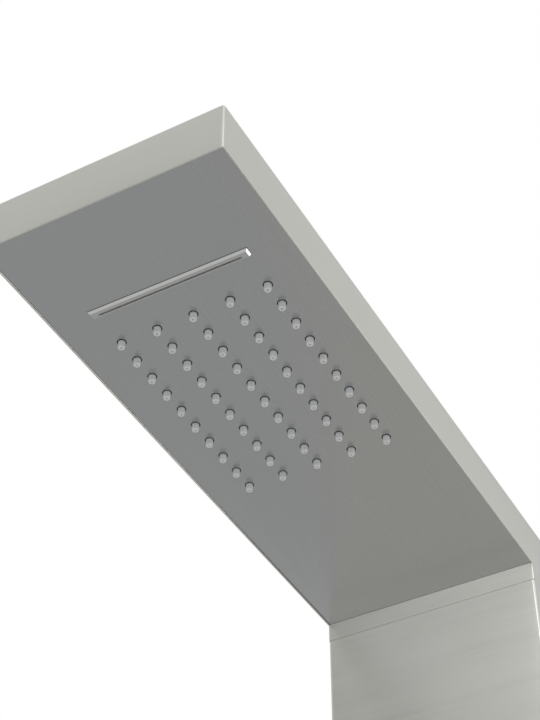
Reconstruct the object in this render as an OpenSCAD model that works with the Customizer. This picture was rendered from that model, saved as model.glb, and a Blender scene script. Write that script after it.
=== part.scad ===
// Rainfall shower column: a wall-hung sheet-steel column that turns into a long flat rain head.
// Millimetres. +X is to the right when facing the wall, +Y runs into the wall and +Z is up.
// The origin is the centre of the upper wall bracket's hole pattern, on the wall's surface.

/* [Casing] */
// Width of the column and of the head
panel_w = 200; // [190:1:230]
// Distance from the wall to the head's front face
head_reach = 600; // [590:1:650]
// Thickness of the head
head_t = 45.5; // [45:0.5:60]
// Depth of the column in front of the wall
col_d = 65; // [65:1:80]
// Height from the foot to the top of the head
total_h = 1500; // [1480:10:1600]
// Height of the head's top above the upper wall bracket
head_top = 170; // [165:1:180]
// Thickness of the steel sheet
sheet = 1.5; // [1:0.1:1.8]
// Height of the cover band on the column's front, under the head
band_h = 17; // [12:1:30]

/* [Rain field] */
// Number of nozzle columns across the head
nozzle_cols = 5; // [1:1:5]
// Number of nozzle rows along the head
nozzle_rows = 10; // [2:2:10]
// Distance between nozzle columns
col_pitch = 31.3; // [24:0.1:31.5]
// Distance between nozzle rows
row_pitch = 21.6; // [16:0.1:22]
// Distance from the head's front face to the first nozzle row
first_row = 128.7; // [124.8:0.1:132]
// Diameter of a nozzle
nozzle_d = 6; // [5:0.1:6.4]
// Diameter of the plate's hole around a nozzle
nozzle_hole_d = 7.6; // [7:0.1:8]
// Distance that a nozzle hangs below the plate
nozzle_drop = 6.2; // [4:0.1:8]

/* [Waterfall outlet] */
// Width of the lip that the sheet of water leaves by
lip_w = 135; // [120:1:138]
// Depth of the lip from front to back
lip_d = 7; // [5:0.1:7]
// Distance that the lip stands below the plate
lip_proud = 2.2; // [1.6:0.1:3]
// Distance from the head's front face to the lip's middle line
lip_from_front = 92.5; // [90:0.1:93]
// Width of the slit in the lip
slit_w = 121; // [100:1:124]
// Height of the slit
slit_h = 1.4; // [1:0.1:2]

/* [Wall fixing] */
// Sideways distance between the upper bracket's screw holes
bracket_pitch_x = 140; // [100:1:146]
// Upright distance between the upper bracket's screw holes
bracket_pitch_z = 30; // [20:1:30]
// Sideways distance between the lower bracket's screw holes
lower_pitch_x = 90; // [60:1:100]
// Diameter of a wall screw's hole
wall_hole_d = 6.5; // [5:0.1:7]

/* [Water ways] */
// Distance between the hot and cold inlets
inlet_pitch = 150; // [149:0.5:151]
// Outer diameter of the half-inch pipe thread
thread_d = 20.955; // [20.9:0.005:21]
// Distance from the upper bracket down to the mixer
mixer_drop = 1000; // [980:5:1040]
// Distance from the upper bracket down to the diverter
diverter_drop = 860; // [850:5:880]
// Outer diameter of an inner hose
hose_d = 12; // [11:0.5:12]
// Radius of a hose's bend into the head
hose_bend = 45; // [40:1:45]

/* [Controls] */
// Diameter of a control knob
knob_d = 50; // [46:1:52]
// Length of a control knob
knob_l = 34; // [30:1:40]
// Number of grip flutes on a knob
flutes = 24; // [12:1:30]
// Travel of the temperature stop button
button_travel = 2; // [1:0.1:2.5]

/* [Body jets] */
// Distance from the upper bracket down to the first body jet
jet_drop = 310; // [300:5:320]
// Distance between body jets
jet_pitch = 130; // [125:1:132]
// Diameter of a jet's ball
ball_d = 38; // [37:0.5:38]
// Diameter of a jet's trim ring
trim_d = 60; // [56:1:64]

/* [Hidden] */
JETS = 4;

$fn = 64;
BRUSHED = [0.72, 0.72, 0.70];
SEMI_POLISHED = [0.50, 0.50, 0.50];
ZINC = [0.62, 0.64, 0.66];
BRASS = [0.78, 0.62, 0.32];
SILICONE = [0.78, 0.79, 0.80];
RUBBER = [0.10, 0.10, 0.10];
BRAID = [0.60, 0.61, 0.62];
WHITE_PLASTIC = [0.90, 0.90, 0.88];
POLISHED = [0.80, 0.81, 0.82];
RED_PLASTIC = [0.72, 0.12, 0.10];
CERAMIC = [0.94, 0.93, 0.90];

// Casing faces
half_w = panel_w / 2;
inner_x = half_w - sheet;
head_under = head_top - head_t;
head_front = -head_reach;
col_front = -col_d;
col_inner = col_front + sheet;
col_foot = head_top - total_h;
col_top = head_under - 0.3;
band_bottom = head_under - band_h;
flange_in = half_w - 12;
slip = 0.3;

// Face plate
plate_gap = 0.8;
plate_x = inner_x - plate_gap;
plate_front = head_front + sheet + plate_gap;
plate_back = col_front - slip;
plate_z = head_under + plate_gap;
plate_in = plate_z + sheet;
plate_lip = 12;

// Rain field and its chamber
rows_mid = head_front + first_row + (nozzle_rows - 1) * row_pitch / 2;
mat_t = 1.5;
cavity_x = (nozzle_cols - 1) * col_pitch / 2 + 6;
cavity_y = (nozzle_rows - 1) * row_pitch / 2 + 6;
chamber_wall = 1.4;
chamber_rim = 11;
chamber_top = plate_in + 22;
nozzle_bore_d = 1.4;
stud_x = cavity_x + chamber_wall + chamber_rim / 2;
stud_y = cavity_y + chamber_wall + chamber_rim / 2;
rain_studs = concat(
    [for (x = [-1, 1], t = [-1 : 0.5 : 1]) [x * stud_x, rows_mid + t * stud_y]],
    [for (x = [-1, 1], t = [-1, 1]) [x * stud_x / 3, rows_mid + t * stud_y]]);

// Waterfall outlet and its chamber
lip_y = head_front + lip_from_front;
lip_wall = 1;
lip_z = plate_z - lip_proud;
slit_y = lip_y + lip_d / 2 - 1.1 - slit_h / 2;
fall_x = lip_w / 2 + 1;
fall_y = 7;
fall_rim_x = 84;
fall_rim_front = lip_y - 23;
fall_rim_back = lip_y + 11;
outlet_flange = 1;
gasket_t = 1;
fall_studs = concat(
    [for (t = [-1.5 : 1 : 1.5]) [t * 44, lip_y - 16]],
    [for (x = [-1, 1]) [x * 78.5, lip_y]]);

// Small fasteners: radii of studs and their nuts
m4 = 2;
m5 = 2.5;
hole_play = 0.25;

// Head gussets
gusset_t = 2.5;
gusset_x = inner_x - 0.2;
gusset_studs = [[-45, 65], [-20, 65], [-45, 105], [-20, 105], [-30, 155], [-120, 155], [-210, 158]];
hanger_stud_x = half_w - 8;
hanger_stud_z = [46, 64];
stud_l = 12;

// Foot cap and lower bracket
foot_screw_x = 88;
foot_screw_y = [-50, -16];
lower_z = col_foot + 30;
lock_x = 69;
lock_y = -25;

// Water ways
mixer_z = -mixer_drop;
diverter_z = -diverter_drop;
inlet_x = inlet_pitch / 2;
barrel_r = 26;
barrel_y = [col_inner + 0.1, -14];
nose_r = 20;
nose_front = col_front - 8;
arm_y = -44;
riser_y = -22;
riser_x = 40;
pipe_y = -36;
pipe_r = 8;
port_r = 7;
port_l = 22;
hose_r = hose_d / 2;
hose_bore = 4;
head_hose_z = 158.8;
rain_elbow_y = -300;
elbow_l = 24;
union_front = -30;
union_back = -1;
thread_l = 13;
neck_l = 36;
stub_l = 28;
outlet_z = col_foot + sheet;

// Cartridges and controls
cartridge_r = 18;
cartridge_back = -24;
neck_r = 12;
neck_front = nose_front - 5;
spindle_r = 6;
run = 0.05;
collar_front = neck_front;
knob_back = collar_front - 0.6;
knob_front = knob_back - knob_l;
knob_r = knob_d / 2;
spindle_front = knob_front + 12;
spindle_back = -50;
chamber_front = -52;
sleeve_r = 9.9;
disc_r = 14;
button_y = knob_back - knob_l / 2;
button_r = 4;
button_l = 12;
escutcheon_step = col_front - 5;

// Body jets
ball_r = ball_d / 2;
ball_y = col_front + 3;
jet_flange_front = col_front - 3;
seal_t = 0.8;
trim_front = jet_flange_front - 4;
swivel_r = ball_r + 2.5;
housing_bore = swivel_r + slip;
housing_r = housing_bore + 2.7;
housing_back = -36;
jet_port_y = -44;
jet_port_l = 36;
pin_r = 2;
swivel_back = -51;
socket_back = swivel_back + 0.5;
cavity_back = -39;
cavity_r = 16;
function jet_z(i) = -jet_drop - (i - 1) * jet_pitch;

// A block between two corners
module block(lo, hi) {
    translate(lo) cube([hi[0] - lo[0], hi[1] - lo[1], hi[2] - lo[2]]);
}

// A rod along X, Y or Z that starts at p
module rod_x(p, l, r) {
    translate(p) rotate([0, 90, 0]) cylinder(h = l, r = r);
}
module rod_y(p, l, r) {
    translate(p) rotate([-90, 0, 0]) cylinder(h = l, r = r);
}
module rod_z(p, l, r) {
    translate(p) cylinder(h = l, r = r);
}

// A rod along Y at height z, from y0 to y1, on the column's middle line
module axle(z, y0, y1, r) {
    rod_y([0, y0, z], y1 - y0, r);
}

// Both sides: the children and their mirror image across the middle plane
module both_sides() {
    children();
    mirror([1, 0, 0]) children();
}

// A hexagon nut of width af and height l, along Z, with its hole
module nut(af, l, hole_r) {
    difference() {
        cylinder(h = l, r = af / sqrt(3), $fn = 6);
        translate([0, 0, -1]) cylinder(h = l + 2, r = hole_r);
    }
}

// A union nut along Z: the lower half grips a port, and the upper half a hose or pipe
module union_nut(af, grip_r, tube_r) {
    difference() {
        cylinder(h = 14, r = af / sqrt(3), $fn = 6);
        translate([0, 0, -1]) cylinder(h = 9, r = grip_r + run);
        cylinder(h = 15, r = tube_r + run);
    }
}

// The casing of the head: a five-sided box of folded sheet, open below
module head_shell() {
    color(BRUSHED) {
        difference() {
            block([-half_w, head_front, head_under], [half_w, 0, head_top]);
            block([-inner_x, head_front + sheet, head_under - 1], [inner_x, -sheet, head_top - sheet]);
        }
        both_sides() for (s = gusset_studs) if (s[1] > head_under)
            rod_x([inner_x - stud_l, s[0], s[1]], stud_l, m5);
    }
}

// The underside: a tray of semi-polished sheet with upturned edges and holes for the nozzles and the lip
module face_plate() {
    color(SEMI_POLISHED) {
        difference() {
            block([-plate_x, plate_front, plate_z], [plate_x, plate_back, plate_in + plate_lip]);
            block([-plate_x + sheet, plate_front + sheet, plate_in],
                  [plate_x - sheet, plate_back - sheet, plate_in + plate_lip + 1]);
            nozzle_places() rod_z([0, 0, plate_z - 1], sheet + 2, nozzle_hole_d / 2);
            block([-lip_w / 2 - 0.2, lip_y - lip_d / 2 - 0.2, plate_z - 1],
                  [lip_w / 2 + 0.2, lip_y + lip_d / 2 + 0.2, plate_in + 1]);
        }
        for (s = concat(rain_studs, fall_studs)) rod_z([s[0], s[1], plate_in], 9, m4);
    }
}

// Puts the children at every nozzle's place
module nozzle_places() {
    for (i = [0 : nozzle_cols - 1], j = [0 : nozzle_rows - 1])
        translate([(i - (nozzle_cols - 1) / 2) * col_pitch, head_front + first_row + j * row_pitch, 0])
            children();
}

// One silicone mat carries all the rub-clean nozzles
module nozzle_mat() {
    tip_l = 0.8;
    tip_z = plate_z - nozzle_drop;
    color(SILICONE) difference() {
        union() {
            chamber_outline(plate_in, plate_in + mat_t);
            nozzle_places() {
                rod_z([0, 0, tip_z + tip_l], nozzle_drop + sheet, nozzle_d / 2);
                translate([0, 0, tip_z]) cylinder(h = tip_l, r1 = nozzle_d / 2 - 0.7, r2 = nozzle_d / 2);
            }
        }
        nozzle_places() rod_z([0, 0, tip_z - 1], nozzle_drop + sheet + mat_t + 2, nozzle_bore_d / 2);
        stud_holes(rain_studs, plate_in);
    }
}

// A slab of the rain chamber's outline between two heights
module chamber_outline(z0, z1) {
    block([-cavity_x - chamber_wall - chamber_rim, rows_mid - cavity_y - chamber_wall - chamber_rim, z0],
          [cavity_x + chamber_wall + chamber_rim, rows_mid + cavity_y + chamber_wall + chamber_rim, z1]);
}

// Clearance holes for a set of plate studs, starting at height z
module stud_holes(places, z) {
    for (s = places) rod_z([s[0], s[1], z - 1], 6, m4 + hole_play);
}

// The pressed dish that spreads the water over the mat
module rain_chamber() {
    z0 = plate_in + mat_t;
    color(ZINC) difference() {
        union() {
            chamber_outline(z0, z0 + chamber_wall);
            block([-cavity_x - chamber_wall, rows_mid - cavity_y - chamber_wall, z0],
                  [cavity_x + chamber_wall, rows_mid + cavity_y + chamber_wall, chamber_top]);
        }
        block([-cavity_x, rows_mid - cavity_y, z0 - 1],
              [cavity_x, rows_mid + cavity_y, chamber_top - chamber_wall]);
        stud_holes(rain_studs, z0);
        rod_z([-riser_x, rain_elbow_y, chamber_top - 3], 4, hose_bore);
    }
}

// The hollow lip that the sheet of water leaves by, through a slit near its back edge
module waterfall_outlet() {
    color(POLISHED) difference() {
        union() {
            fall_outline(plate_in, plate_in + outlet_flange);
            block([-lip_w / 2, lip_y - lip_d / 2, lip_z],
                  [lip_w / 2, lip_y + lip_d / 2, plate_in + outlet_flange]);
        }
        fall_throat(lip_z + lip_wall, plate_in + outlet_flange + 1);
        block([-slit_w / 2, slit_y - slit_h / 2, lip_z - 1], [slit_w / 2, slit_y + slit_h / 2, lip_z + 2]);
        stud_holes(fall_studs, plate_in);
    }
}

// A slab of the waterfall outlet's flange between two heights
module fall_outline(z0, z1) {
    block([-fall_rim_x, fall_rim_front, z0], [fall_rim_x, fall_rim_back, z1]);
}

// The throat above the slit between two heights
module fall_throat(z0, z1) {
    block([-lip_w / 2 + 4, lip_y - lip_d / 2 + lip_wall, z0],
          [lip_w / 2 - 4, lip_y + lip_d / 2 - lip_wall, z1]);
}

module waterfall_gasket() {
    z0 = plate_in + outlet_flange;
    color(RUBBER) difference() {
        fall_outline(z0, z0 + gasket_t);
        fall_throat(z0 - 1, z0 + gasket_t + 1);
        stud_holes(fall_studs, z0);
    }
}

// The duct that feeds the waterfall lip along its whole width
module waterfall_chamber() {
    z0 = plate_in + outlet_flange + gasket_t;
    color(ZINC) difference() {
        union() {
            fall_outline(z0, z0 + chamber_wall);
            block([-fall_x - chamber_wall, lip_y - fall_y - chamber_wall, z0],
                  [fall_x + chamber_wall, lip_y + fall_y + chamber_wall, chamber_top]);
        }
        block([-fall_x, lip_y - fall_y, z0 - 1], [fall_x, lip_y + fall_y, chamber_top - chamber_wall]);
        stud_holes(fall_studs, z0);
        rod_z([riser_x, lip_y, chamber_top - 3], 4, hose_bore);
    }
}

// The nuts that clamp both chambers to the plate
module chamber_nuts() {
    color(ZINC) {
        for (s = rain_studs) translate([s[0], s[1], plate_in + mat_t + chamber_wall]) nut(7, 3.2, m4 + run);
        for (s = fall_studs) translate([s[0], s[1], plate_in + outlet_flange + gasket_t + chamber_wall])
            nut(7, 3.2, m4 + run);
    }
}

// A brass elbow that stands on a chamber and takes a hose from behind
module chamber_elbow(x, y) {
    color(BRASS) difference() {
        union() {
            rod_z([x, y, chamber_top], head_hose_z - chamber_top, 8);
            translate([x, y, head_hose_z]) sphere(r = 8);
            rod_y([x, y, head_hose_z], elbow_l, port_r);
        }
        rod_z([x, y, chamber_top - 1], head_hose_z - chamber_top + 1, hose_bore);
        translate([x, y, head_hose_z]) sphere(r = hose_bore);
        rod_y([x, y, head_hose_z], elbow_l + 1, hose_bore);
    }
}
module rain_elbow() {
    chamber_elbow(-riser_x, rain_elbow_y);
}
module waterfall_elbow() {
    chamber_elbow(riser_x, lip_y);
}

// Spring clips that hold the plate's upturned edges against the casing
module plate_clips() {
    clip_t = 0.5;
    clip_w = 16;
    top = plate_in + plate_lip;
    color(ZINC) both_sides() for (y = [plate_front + 40, -420, -280, plate_back - 40]) {
        block([plate_x + 0.15, y, plate_z + 3], [plate_x + 0.15 + clip_t, y + clip_w, top + 0.1 + clip_t]);
        block([plate_x - sheet - 0.1 - clip_t, y, top + 0.1],
              [plate_x + 0.15 + clip_t, y + clip_w, top + 0.1 + clip_t]);
        block([plate_x - sheet - 0.1 - clip_t, y, plate_in + 4],
              [plate_x - sheet - 0.1, y + clip_w, top + 0.1 + clip_t]);
    }
}

// An angle plate that carries the head from the column's side wall
module gusset() {
    outline = [[-60, 50], [-11, 50], [-11, 166], [-230, 166], [-230, 150], [-110, 142], [-60, 142]];
    color(ZINC) difference() {
        translate([gusset_x - gusset_t, 0, 0]) rotate([90, 0, 90])
            linear_extrude(gusset_t) polygon(outline);
        for (s = gusset_studs) rod_x([gusset_x - gusset_t - 1, s[0], s[1]], gusset_t + 2, m5 + hole_play);
    }
}
module gusset_right() {
    gusset();
}
module gusset_left() {
    mirror([1, 0, 0]) gusset();
}

// The column: a C section of folded sheet, open to the wall, with welded studs and foot tabs
module column_shell() {
    color(BRUSHED) {
        difference() {
            block([-half_w, col_front, col_foot], [half_w, 0, col_top]);
            block([-inner_x, col_inner, col_foot - 1], [inner_x, -sheet, col_top + 1]);
            block([-flange_in, -sheet - 1, col_foot - 1], [flange_in, 1, col_top + 1]);
            block([-inner_x, col_front - 1, band_bottom], [inner_x, col_inner, col_top + 1]);
            for (z = [mixer_z, diverter_z]) axle(z, col_front - 1, col_inner + 1, nose_r + 0.5);
            for (i = [1 : JETS]) axle(jet_z(i), col_front - 1, col_inner + 1, housing_r + 0.5);
        }
        both_sides() {
            for (s = gusset_studs) if (s[1] < head_under) rod_x([inner_x - stud_l, s[0], s[1]], stud_l, m5);
            for (z = hanger_stud_z) rod_y([hanger_stud_x, -stud_l, z], stud_l - sheet, m5);
            for (y = foot_screw_y) difference() {
                block([foot_screw_x - 7, y - 6, outlet_z + 0.2], [inner_x, y + 6, outlet_z + 2.2]);
                rod_z([foot_screw_x, y, outlet_z - 1], 4, m4 + run);
            }
        }
    }
}

// The cover band on the column's front, which hides the joint with the head
module junction_band() {
    color(BRUSHED) {
        block([-inner_x + 0.2, col_front, band_bottom + slip], [inner_x - 0.2, col_inner, col_top]);
        block([-90, col_inner, band_bottom - 12], [90, col_inner + sheet, col_top - 4]);
    }
}

// The plate that closes the column's foot
module foot_cap() {
    edge_x = inner_x - 0.2;
    front = col_inner + 0.2;
    back = -sheet - 0.2;
    color(BRUSHED) difference() {
        union() {
            block([-edge_x, front, col_foot], [edge_x, back, outlet_z]);
            block([-edge_x, front, col_foot], [edge_x, front + sheet, col_foot + 14]);
        }
        rod_z([-riser_x, riser_y, col_foot - 1], 4, thread_d / 2 + slip);
        both_sides() {
            for (y = foot_screw_y) sink([foot_screw_x, y, col_foot], m4 + hole_play);
            sink([lock_x, lock_y, col_foot], m5 + hole_play);
        }
    }
}

// A countersunk hole from below, through the foot cap
module sink(p, r) {
    rod_z([p[0], p[1], p[2] - 1], sheet + 2, r);
    translate(p) translate([0, 0, -0.01]) cylinder(h = sheet, r1 = r + sheet, r2 = r);
}

// A countersunk screw that points up, with its flat head flush with the foot
module flush_screw(p, r, l) {
    difference() {
        union() {
            rod_z(p, l, r);
            translate(p) cylinder(h = sheet - 0.2, r1 = r + sheet - 0.2, r2 = r);
        }
        translate([p[0], p[1], p[2] - 1]) cylinder(h = 2, r = 1.5, $fn = 6);
    }
}
module foot_cap_screws() {
    color(ZINC) both_sides() for (y = foot_screw_y) flush_screw([foot_screw_x, y, col_foot], m4, 8);
}

// The cross rail inside the column that hooks over the upper wall bracket
module hanger() {
    color(ZINC) difference() {
        union() {
            block([-inner_x + 0.5, -5.5, 40], [inner_x - 0.5, -3.5, 70]);
            block([-78, -5.5, 22], [78, -3.5, 40]);
            both_sides() block([flange_in - 2, -3.5, 40], [inner_x - 0.5, -sheet, 70]);
        }
        both_sides() for (z = hanger_stud_z) rod_y([hanger_stud_x, -6, z], 5, m5 + hole_play);
    }
}

// The nuts on the welded studs of the gussets and of the hanger
module bracket_nuts() {
    color(ZINC) both_sides() {
        for (s = gusset_studs) translate([gusset_x - gusset_t - 4, s[0], s[1]])
            rotate([0, 90, 0]) nut(8, 4, m5 + run);
        for (z = hanger_stud_z) translate([hanger_stud_x, -9.5, z]) rotate([-90, 0, 0]) nut(8, 4, m5 + run);
    }
}

// The upper wall bracket: a plate with a channel along its top that the hanger sits in
module wall_plate_upper() {
    color(ZINC) difference() {
        union() {
            block([-80, -3, -28], [80, 0, 22]);
            block([-80, -9, 19], [80, 0, 22]);
            block([-80, -9, 19], [80, -6.2, 34]);
        }
        both_sides() for (z = [-1, 1])
            rod_y([bracket_pitch_x / 2, -4, z * bracket_pitch_z / 2], 5, wall_hole_d / 2);
    }
}

// The lower wall bracket, with two forward tabs that the lock screws go into
module wall_plate_lower() {
    color(ZINC) difference() {
        union() {
            block([-78, -3, lower_z - 25], [78, 0, lower_z + 20]);
            both_sides() block([60, lock_y - 8, lower_z - 25], [78, 0, lower_z - 22]);
        }
        both_sides() {
            rod_y([lower_pitch_x / 2, -4, lower_z], 5, wall_hole_d / 2);
            rod_z([lock_x, lock_y, lower_z - 26], 5, m5 + run);
        }
    }
}
module lock_screws() {
    color(ZINC) both_sides() flush_screw([lock_x, lock_y, col_foot], m5, 14);
}

// The barrel, nose and cartridge bore that the mixer and the diverter share
module valve_barrel(z) {
    axle(z, barrel_y[0], barrel_y[1], barrel_r);
    axle(z, nose_front, barrel_y[0], nose_r);
}
module cartridge_bore(z) {
    axle(z, nose_front - 1, cartridge_back + 2, cartridge_r + 0.2);
}

// The thermostatic mixer: a brass barrel with two arms for the wall's supplies
module mixer_body() {
    arm_l = inlet_x + 9;
    color(BRASS) difference() {
        union() {
            valve_barrel(mixer_z);
            rod_x([-arm_l, arm_y, mixer_z], 2 * arm_l, 10);
            both_sides() rod_y([inlet_x, arm_y, mixer_z], union_front - arm_y, 11);
            rod_z([0, pipe_y, mixer_z], neck_l, 10);
        }
        cartridge_bore(mixer_z);
        rod_x([-inlet_x, arm_y, mixer_z], inlet_pitch, 6);
        both_sides() rod_y([inlet_x, arm_y, mixer_z], union_front + 1 - arm_y, 6);
        rod_z([0, pipe_y, mixer_z], neck_l + 1, pipe_r - 1.5);
    }
}

// A threaded union that faces the wall's supply pipe
module inlet_union(x) {
    color(BRASS) difference() {
        union() {
            translate([x, union_front, mixer_z]) rotate([-90, 0, 0])
                cylinder(h = union_back - thread_l - union_front, r = 13.5, $fn = 6);
            rod_y([x, union_back - thread_l, mixer_z], thread_l, thread_d / 2);
        }
        rod_y([x, union_front - 1, mixer_z], 2 - union_front, 7.5);
    }
}
module hot_inlet_union() {
    inlet_union(-inlet_x);
}
module cold_inlet_union() {
    inlet_union(inlet_x);
}

// The outside of a cartridge: a cylinder in the bore and a neck that the spindle leaves by
module cartridge_outside(z) {
    axle(z, nose_front, cartridge_back, cartridge_r);
    axle(z, neck_front, nose_front, neck_r);
}
module thermostatic_cartridge() {
    color(WHITE_PLASTIC) difference() {
        cartridge_outside(mixer_z);
        axle(mixer_z, neck_front - 1, chamber_front, spindle_r + run);
        axle(mixer_z, chamber_front, cartridge_back + 1, sleeve_r + slip);
        rod_x([-cartridge_r - 1, arm_y, mixer_z], 2 * cartridge_r + 2, 4);
        rod_z([0, pipe_y, mixer_z], cartridge_r + 1, 4);
    }
}

// The sleeve that slides to mix hot and cold as the handle turns
module regulator_piston() {
    color(CERAMIC) difference() {
        axle(mixer_z, -46.5, -30, sleeve_r);
        axle(mixer_z, -47, -29, 7);
    }
}

// The cap nuts that hold both cartridges in their bores
module cartridge_nuts() {
    color(BRASS) for (z = [mixer_z, diverter_z]) difference() {
        axle(z, nose_front - 2, nose_front + 4.7, 23.5);
        axle(z, nose_front, nose_front + 5, nose_r + run);
        axle(z, nose_front - 3, nose_front + 1, neck_r + slip);
    }
}

// The rings that clamp both valve bodies to the column's front
module lock_rings() {
    color(BRASS) for (z = [mixer_z, diverter_z]) difference() {
        axle(z, col_front - 3, col_front, 25);
        axle(z, col_front - 4, col_front + 1, nose_r + run);
    }
}

// The pipe that takes mixed water up to the diverter
module transfer_pipe() {
    z0 = mixer_z + neck_l;
    l = diverter_z - neck_l - z0;
    color(POLISHED) difference() {
        rod_z([0, pipe_y, z0], l, pipe_r);
        rod_z([0, pipe_y, z0 - 1], l + 2, pipe_r - 1.5);
    }
}

// The diverter: a brass barrel with ports for the rain, waterfall, jet and hand-shower lines
module diverter_body() {
    manifold_x = riser_x + 12;
    color(BRASS) difference() {
        union() {
            valve_barrel(diverter_z);
            rod_x([-manifold_x, riser_y, diverter_z], 2 * manifold_x, 9);
            both_sides() rod_z([riser_x, riser_y, diverter_z], port_l, port_r);
            rod_z([-riser_x, riser_y, diverter_z - port_l], port_l, port_r);
            rod_z([0, jet_port_y, diverter_z], jet_port_l, port_r);
            rod_z([0, pipe_y, diverter_z - neck_l], neck_l, 10);
        }
        cartridge_bore(diverter_z);
        both_sides() rod_x([20, riser_y, diverter_z], manifold_x - 25, 5);
        both_sides() rod_z([riser_x, riser_y, diverter_z], port_l + 1, hose_bore);
        rod_z([-riser_x, riser_y, diverter_z - port_l - 1], port_l + 1, hose_bore);
        rod_z([0, jet_port_y, diverter_z], jet_port_l + 1, hose_bore);
        rod_z([0, pipe_y, diverter_z - neck_l - 1], neck_l + 1, pipe_r - 1.5);
    }
}
module diverter_cartridge() {
    color(WHITE_PLASTIC) difference() {
        cartridge_outside(diverter_z);
        axle(diverter_z, neck_front - 1, chamber_front, spindle_r + run);
        axle(diverter_z, chamber_front, -40, disc_r + slip);
        for (a = [45 : 90 : 315]) axle_off(a, -41, cartridge_back + 1, 2.5);
    }
}

// A rod along Y beside the diverter's axis, at an angle and 9 mm out
module axle_off(a, y0, y1, r) {
    translate([9 * sin(a), 0, 9 * cos(a)]) axle(diverter_z, y0, y1, r);
}

// The ceramic disc that opens one port at a time
module diverter_disc() {
    color(CERAMIC) difference() {
        axle(diverter_z, spindle_back, -44, disc_r);
        axle_off(0, -51, -43, 3);
    }
}

// The path of a hose from a diverter port up the column and forward into the head
module head_hose_path(x, y_end, r) {
    z0 = diverter_z + port_l;
    bend_z = head_hose_z - hose_bend;
    rod_z([x, riser_y, z0], bend_z - z0, r);
    translate([x, riser_y - hose_bend, bend_z]) rotate([90, 0, 90])
        rotate_extrude(angle = 90) translate([hose_bend, 0]) circle(r = r);
    rod_y([x, y_end, head_hose_z], riser_y - hose_bend - y_end, r);
}
module head_hose(x, y_end) {
    color(BRAID) difference() {
        head_hose_path(x, y_end, hose_r);
        head_hose_path(x, y_end, hose_bore);
        rod_z([x, riser_y, diverter_z + port_l - 1], 2, hose_bore);
        rod_y([x, y_end - 1, head_hose_z], 2, hose_bore);
    }
}
module rain_hose() {
    head_hose(-riser_x, rain_elbow_y + elbow_l);
}
module waterfall_hose() {
    head_hose(riser_x, lip_y + elbow_l);
}

// A straight length of hose along Z
module straight_hose(x, y, z0, z1) {
    color(BRAID) difference() {
        rod_z([x, y, z0], z1 - z0, hose_r);
        rod_z([x, y, z0 - 1], z1 - z0 + 2, hose_bore);
    }
}

// The chain of short hoses that feeds the body jets from below
module jet_feed_hoses() {
    straight_hose(0, jet_port_y, diverter_z + jet_port_l, jet_z(JETS) - jet_port_l);
    for (i = [1 : JETS - 1]) straight_hose(0, jet_port_y, jet_z(i + 1) + jet_port_l, jet_z(i) - jet_port_l);
}
module hand_shower_hose() {
    straight_hose(-riser_x, riser_y, outlet_z + stub_l, diverter_z - port_l);
}

// The union nuts on every hose end and on both ends of the transfer pipe
module hose_nuts() {
    small_af = 17;
    color(BRASS) {
        both_sides() translate([riser_x, riser_y, diverter_z + port_l - 8])
            union_nut(small_af, port_r, hose_r);
        translate([-riser_x, riser_y, diverter_z - port_l + 8]) rotate([180, 0, 0])
            union_nut(small_af, port_r, hose_r);
        translate([-riser_x, riser_y, outlet_z + stub_l - 8]) union_nut(small_af, port_r, hose_r);
        translate([0, jet_port_y, diverter_z + jet_port_l - 8]) union_nut(small_af, port_r, hose_r);
        for (i = [1 : JETS]) translate([0, jet_port_y, jet_z(i) - jet_port_l + 8]) rotate([180, 0, 0])
            union_nut(small_af, port_r, hose_r);
        for (i = [2 : JETS]) translate([0, jet_port_y, jet_z(i) + jet_port_l - 8])
            union_nut(small_af, port_r, hose_r);
        translate([-riser_x, rain_elbow_y + elbow_l - 8, head_hose_z]) rotate([-90, 0, 0])
            union_nut(16, port_r, hose_r);
        translate([riser_x, lip_y + elbow_l - 8, head_hose_z]) rotate([-90, 0, 0])
            union_nut(16, port_r, hose_r);
        translate([0, pipe_y, mixer_z + neck_l - 8]) union_nut(24, 10, pipe_r);
        translate([0, pipe_y, diverter_z - neck_l + 8]) rotate([180, 0, 0]) union_nut(24, 10, pipe_r);
    }
}

// The half-inch outlet under the foot that a hand shower's hose screws onto
module hand_outlet() {
    shank_r = 10.4;
    collar_l = 5;
    drop = 20;
    color(POLISHED) difference() {
        union() {
            rod_z([-riser_x, riser_y, outlet_z], stub_l, port_r);
            rod_z([-riser_x, riser_y, col_foot], 8, shank_r);
            rod_z([-riser_x, riser_y, col_foot - collar_l], collar_l, 15);
            rod_z([-riser_x, riser_y, col_foot - drop], drop, thread_d / 2);
        }
        rod_z([-riser_x, riser_y, col_foot - drop - 1], drop + stub_l + 4, hose_bore);
    }
}
module outlet_locknut() {
    color(BRASS) translate([-riser_x, riser_y, outlet_z]) nut(27, 4, thread_d / 2 + run);
}

// A stepped cover over the nuts of a valve
module escutcheon(z) {
    color(POLISHED) difference() {
        union() {
            axle(z, escutcheon_step, col_front, 34);
            axle(z, collar_front, escutcheon_step, 28);
        }
        axle(z, collar_front - 1, col_front + 1, 25.4);
    }
}
module temp_escutcheon() {
    escutcheon(mixer_z);
}
module diverter_escutcheon() {
    escutcheon(diverter_z);
}

// The fluted barrel of a knob, bored for its spindle
module knob_barrel(z) {
    difference() {
        axle(z, knob_front, knob_back, knob_r);
        axle(z, spindle_front, knob_back + 1, spindle_r + run);
        for (k = [0 : flutes - 1]) rotate_about(z, (k + 0.5) * 360 / flutes)
            translate([0, 0, knob_r + 0.7]) axle(z, knob_front + 6, knob_back - 5, 1.6);
    }
}

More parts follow.
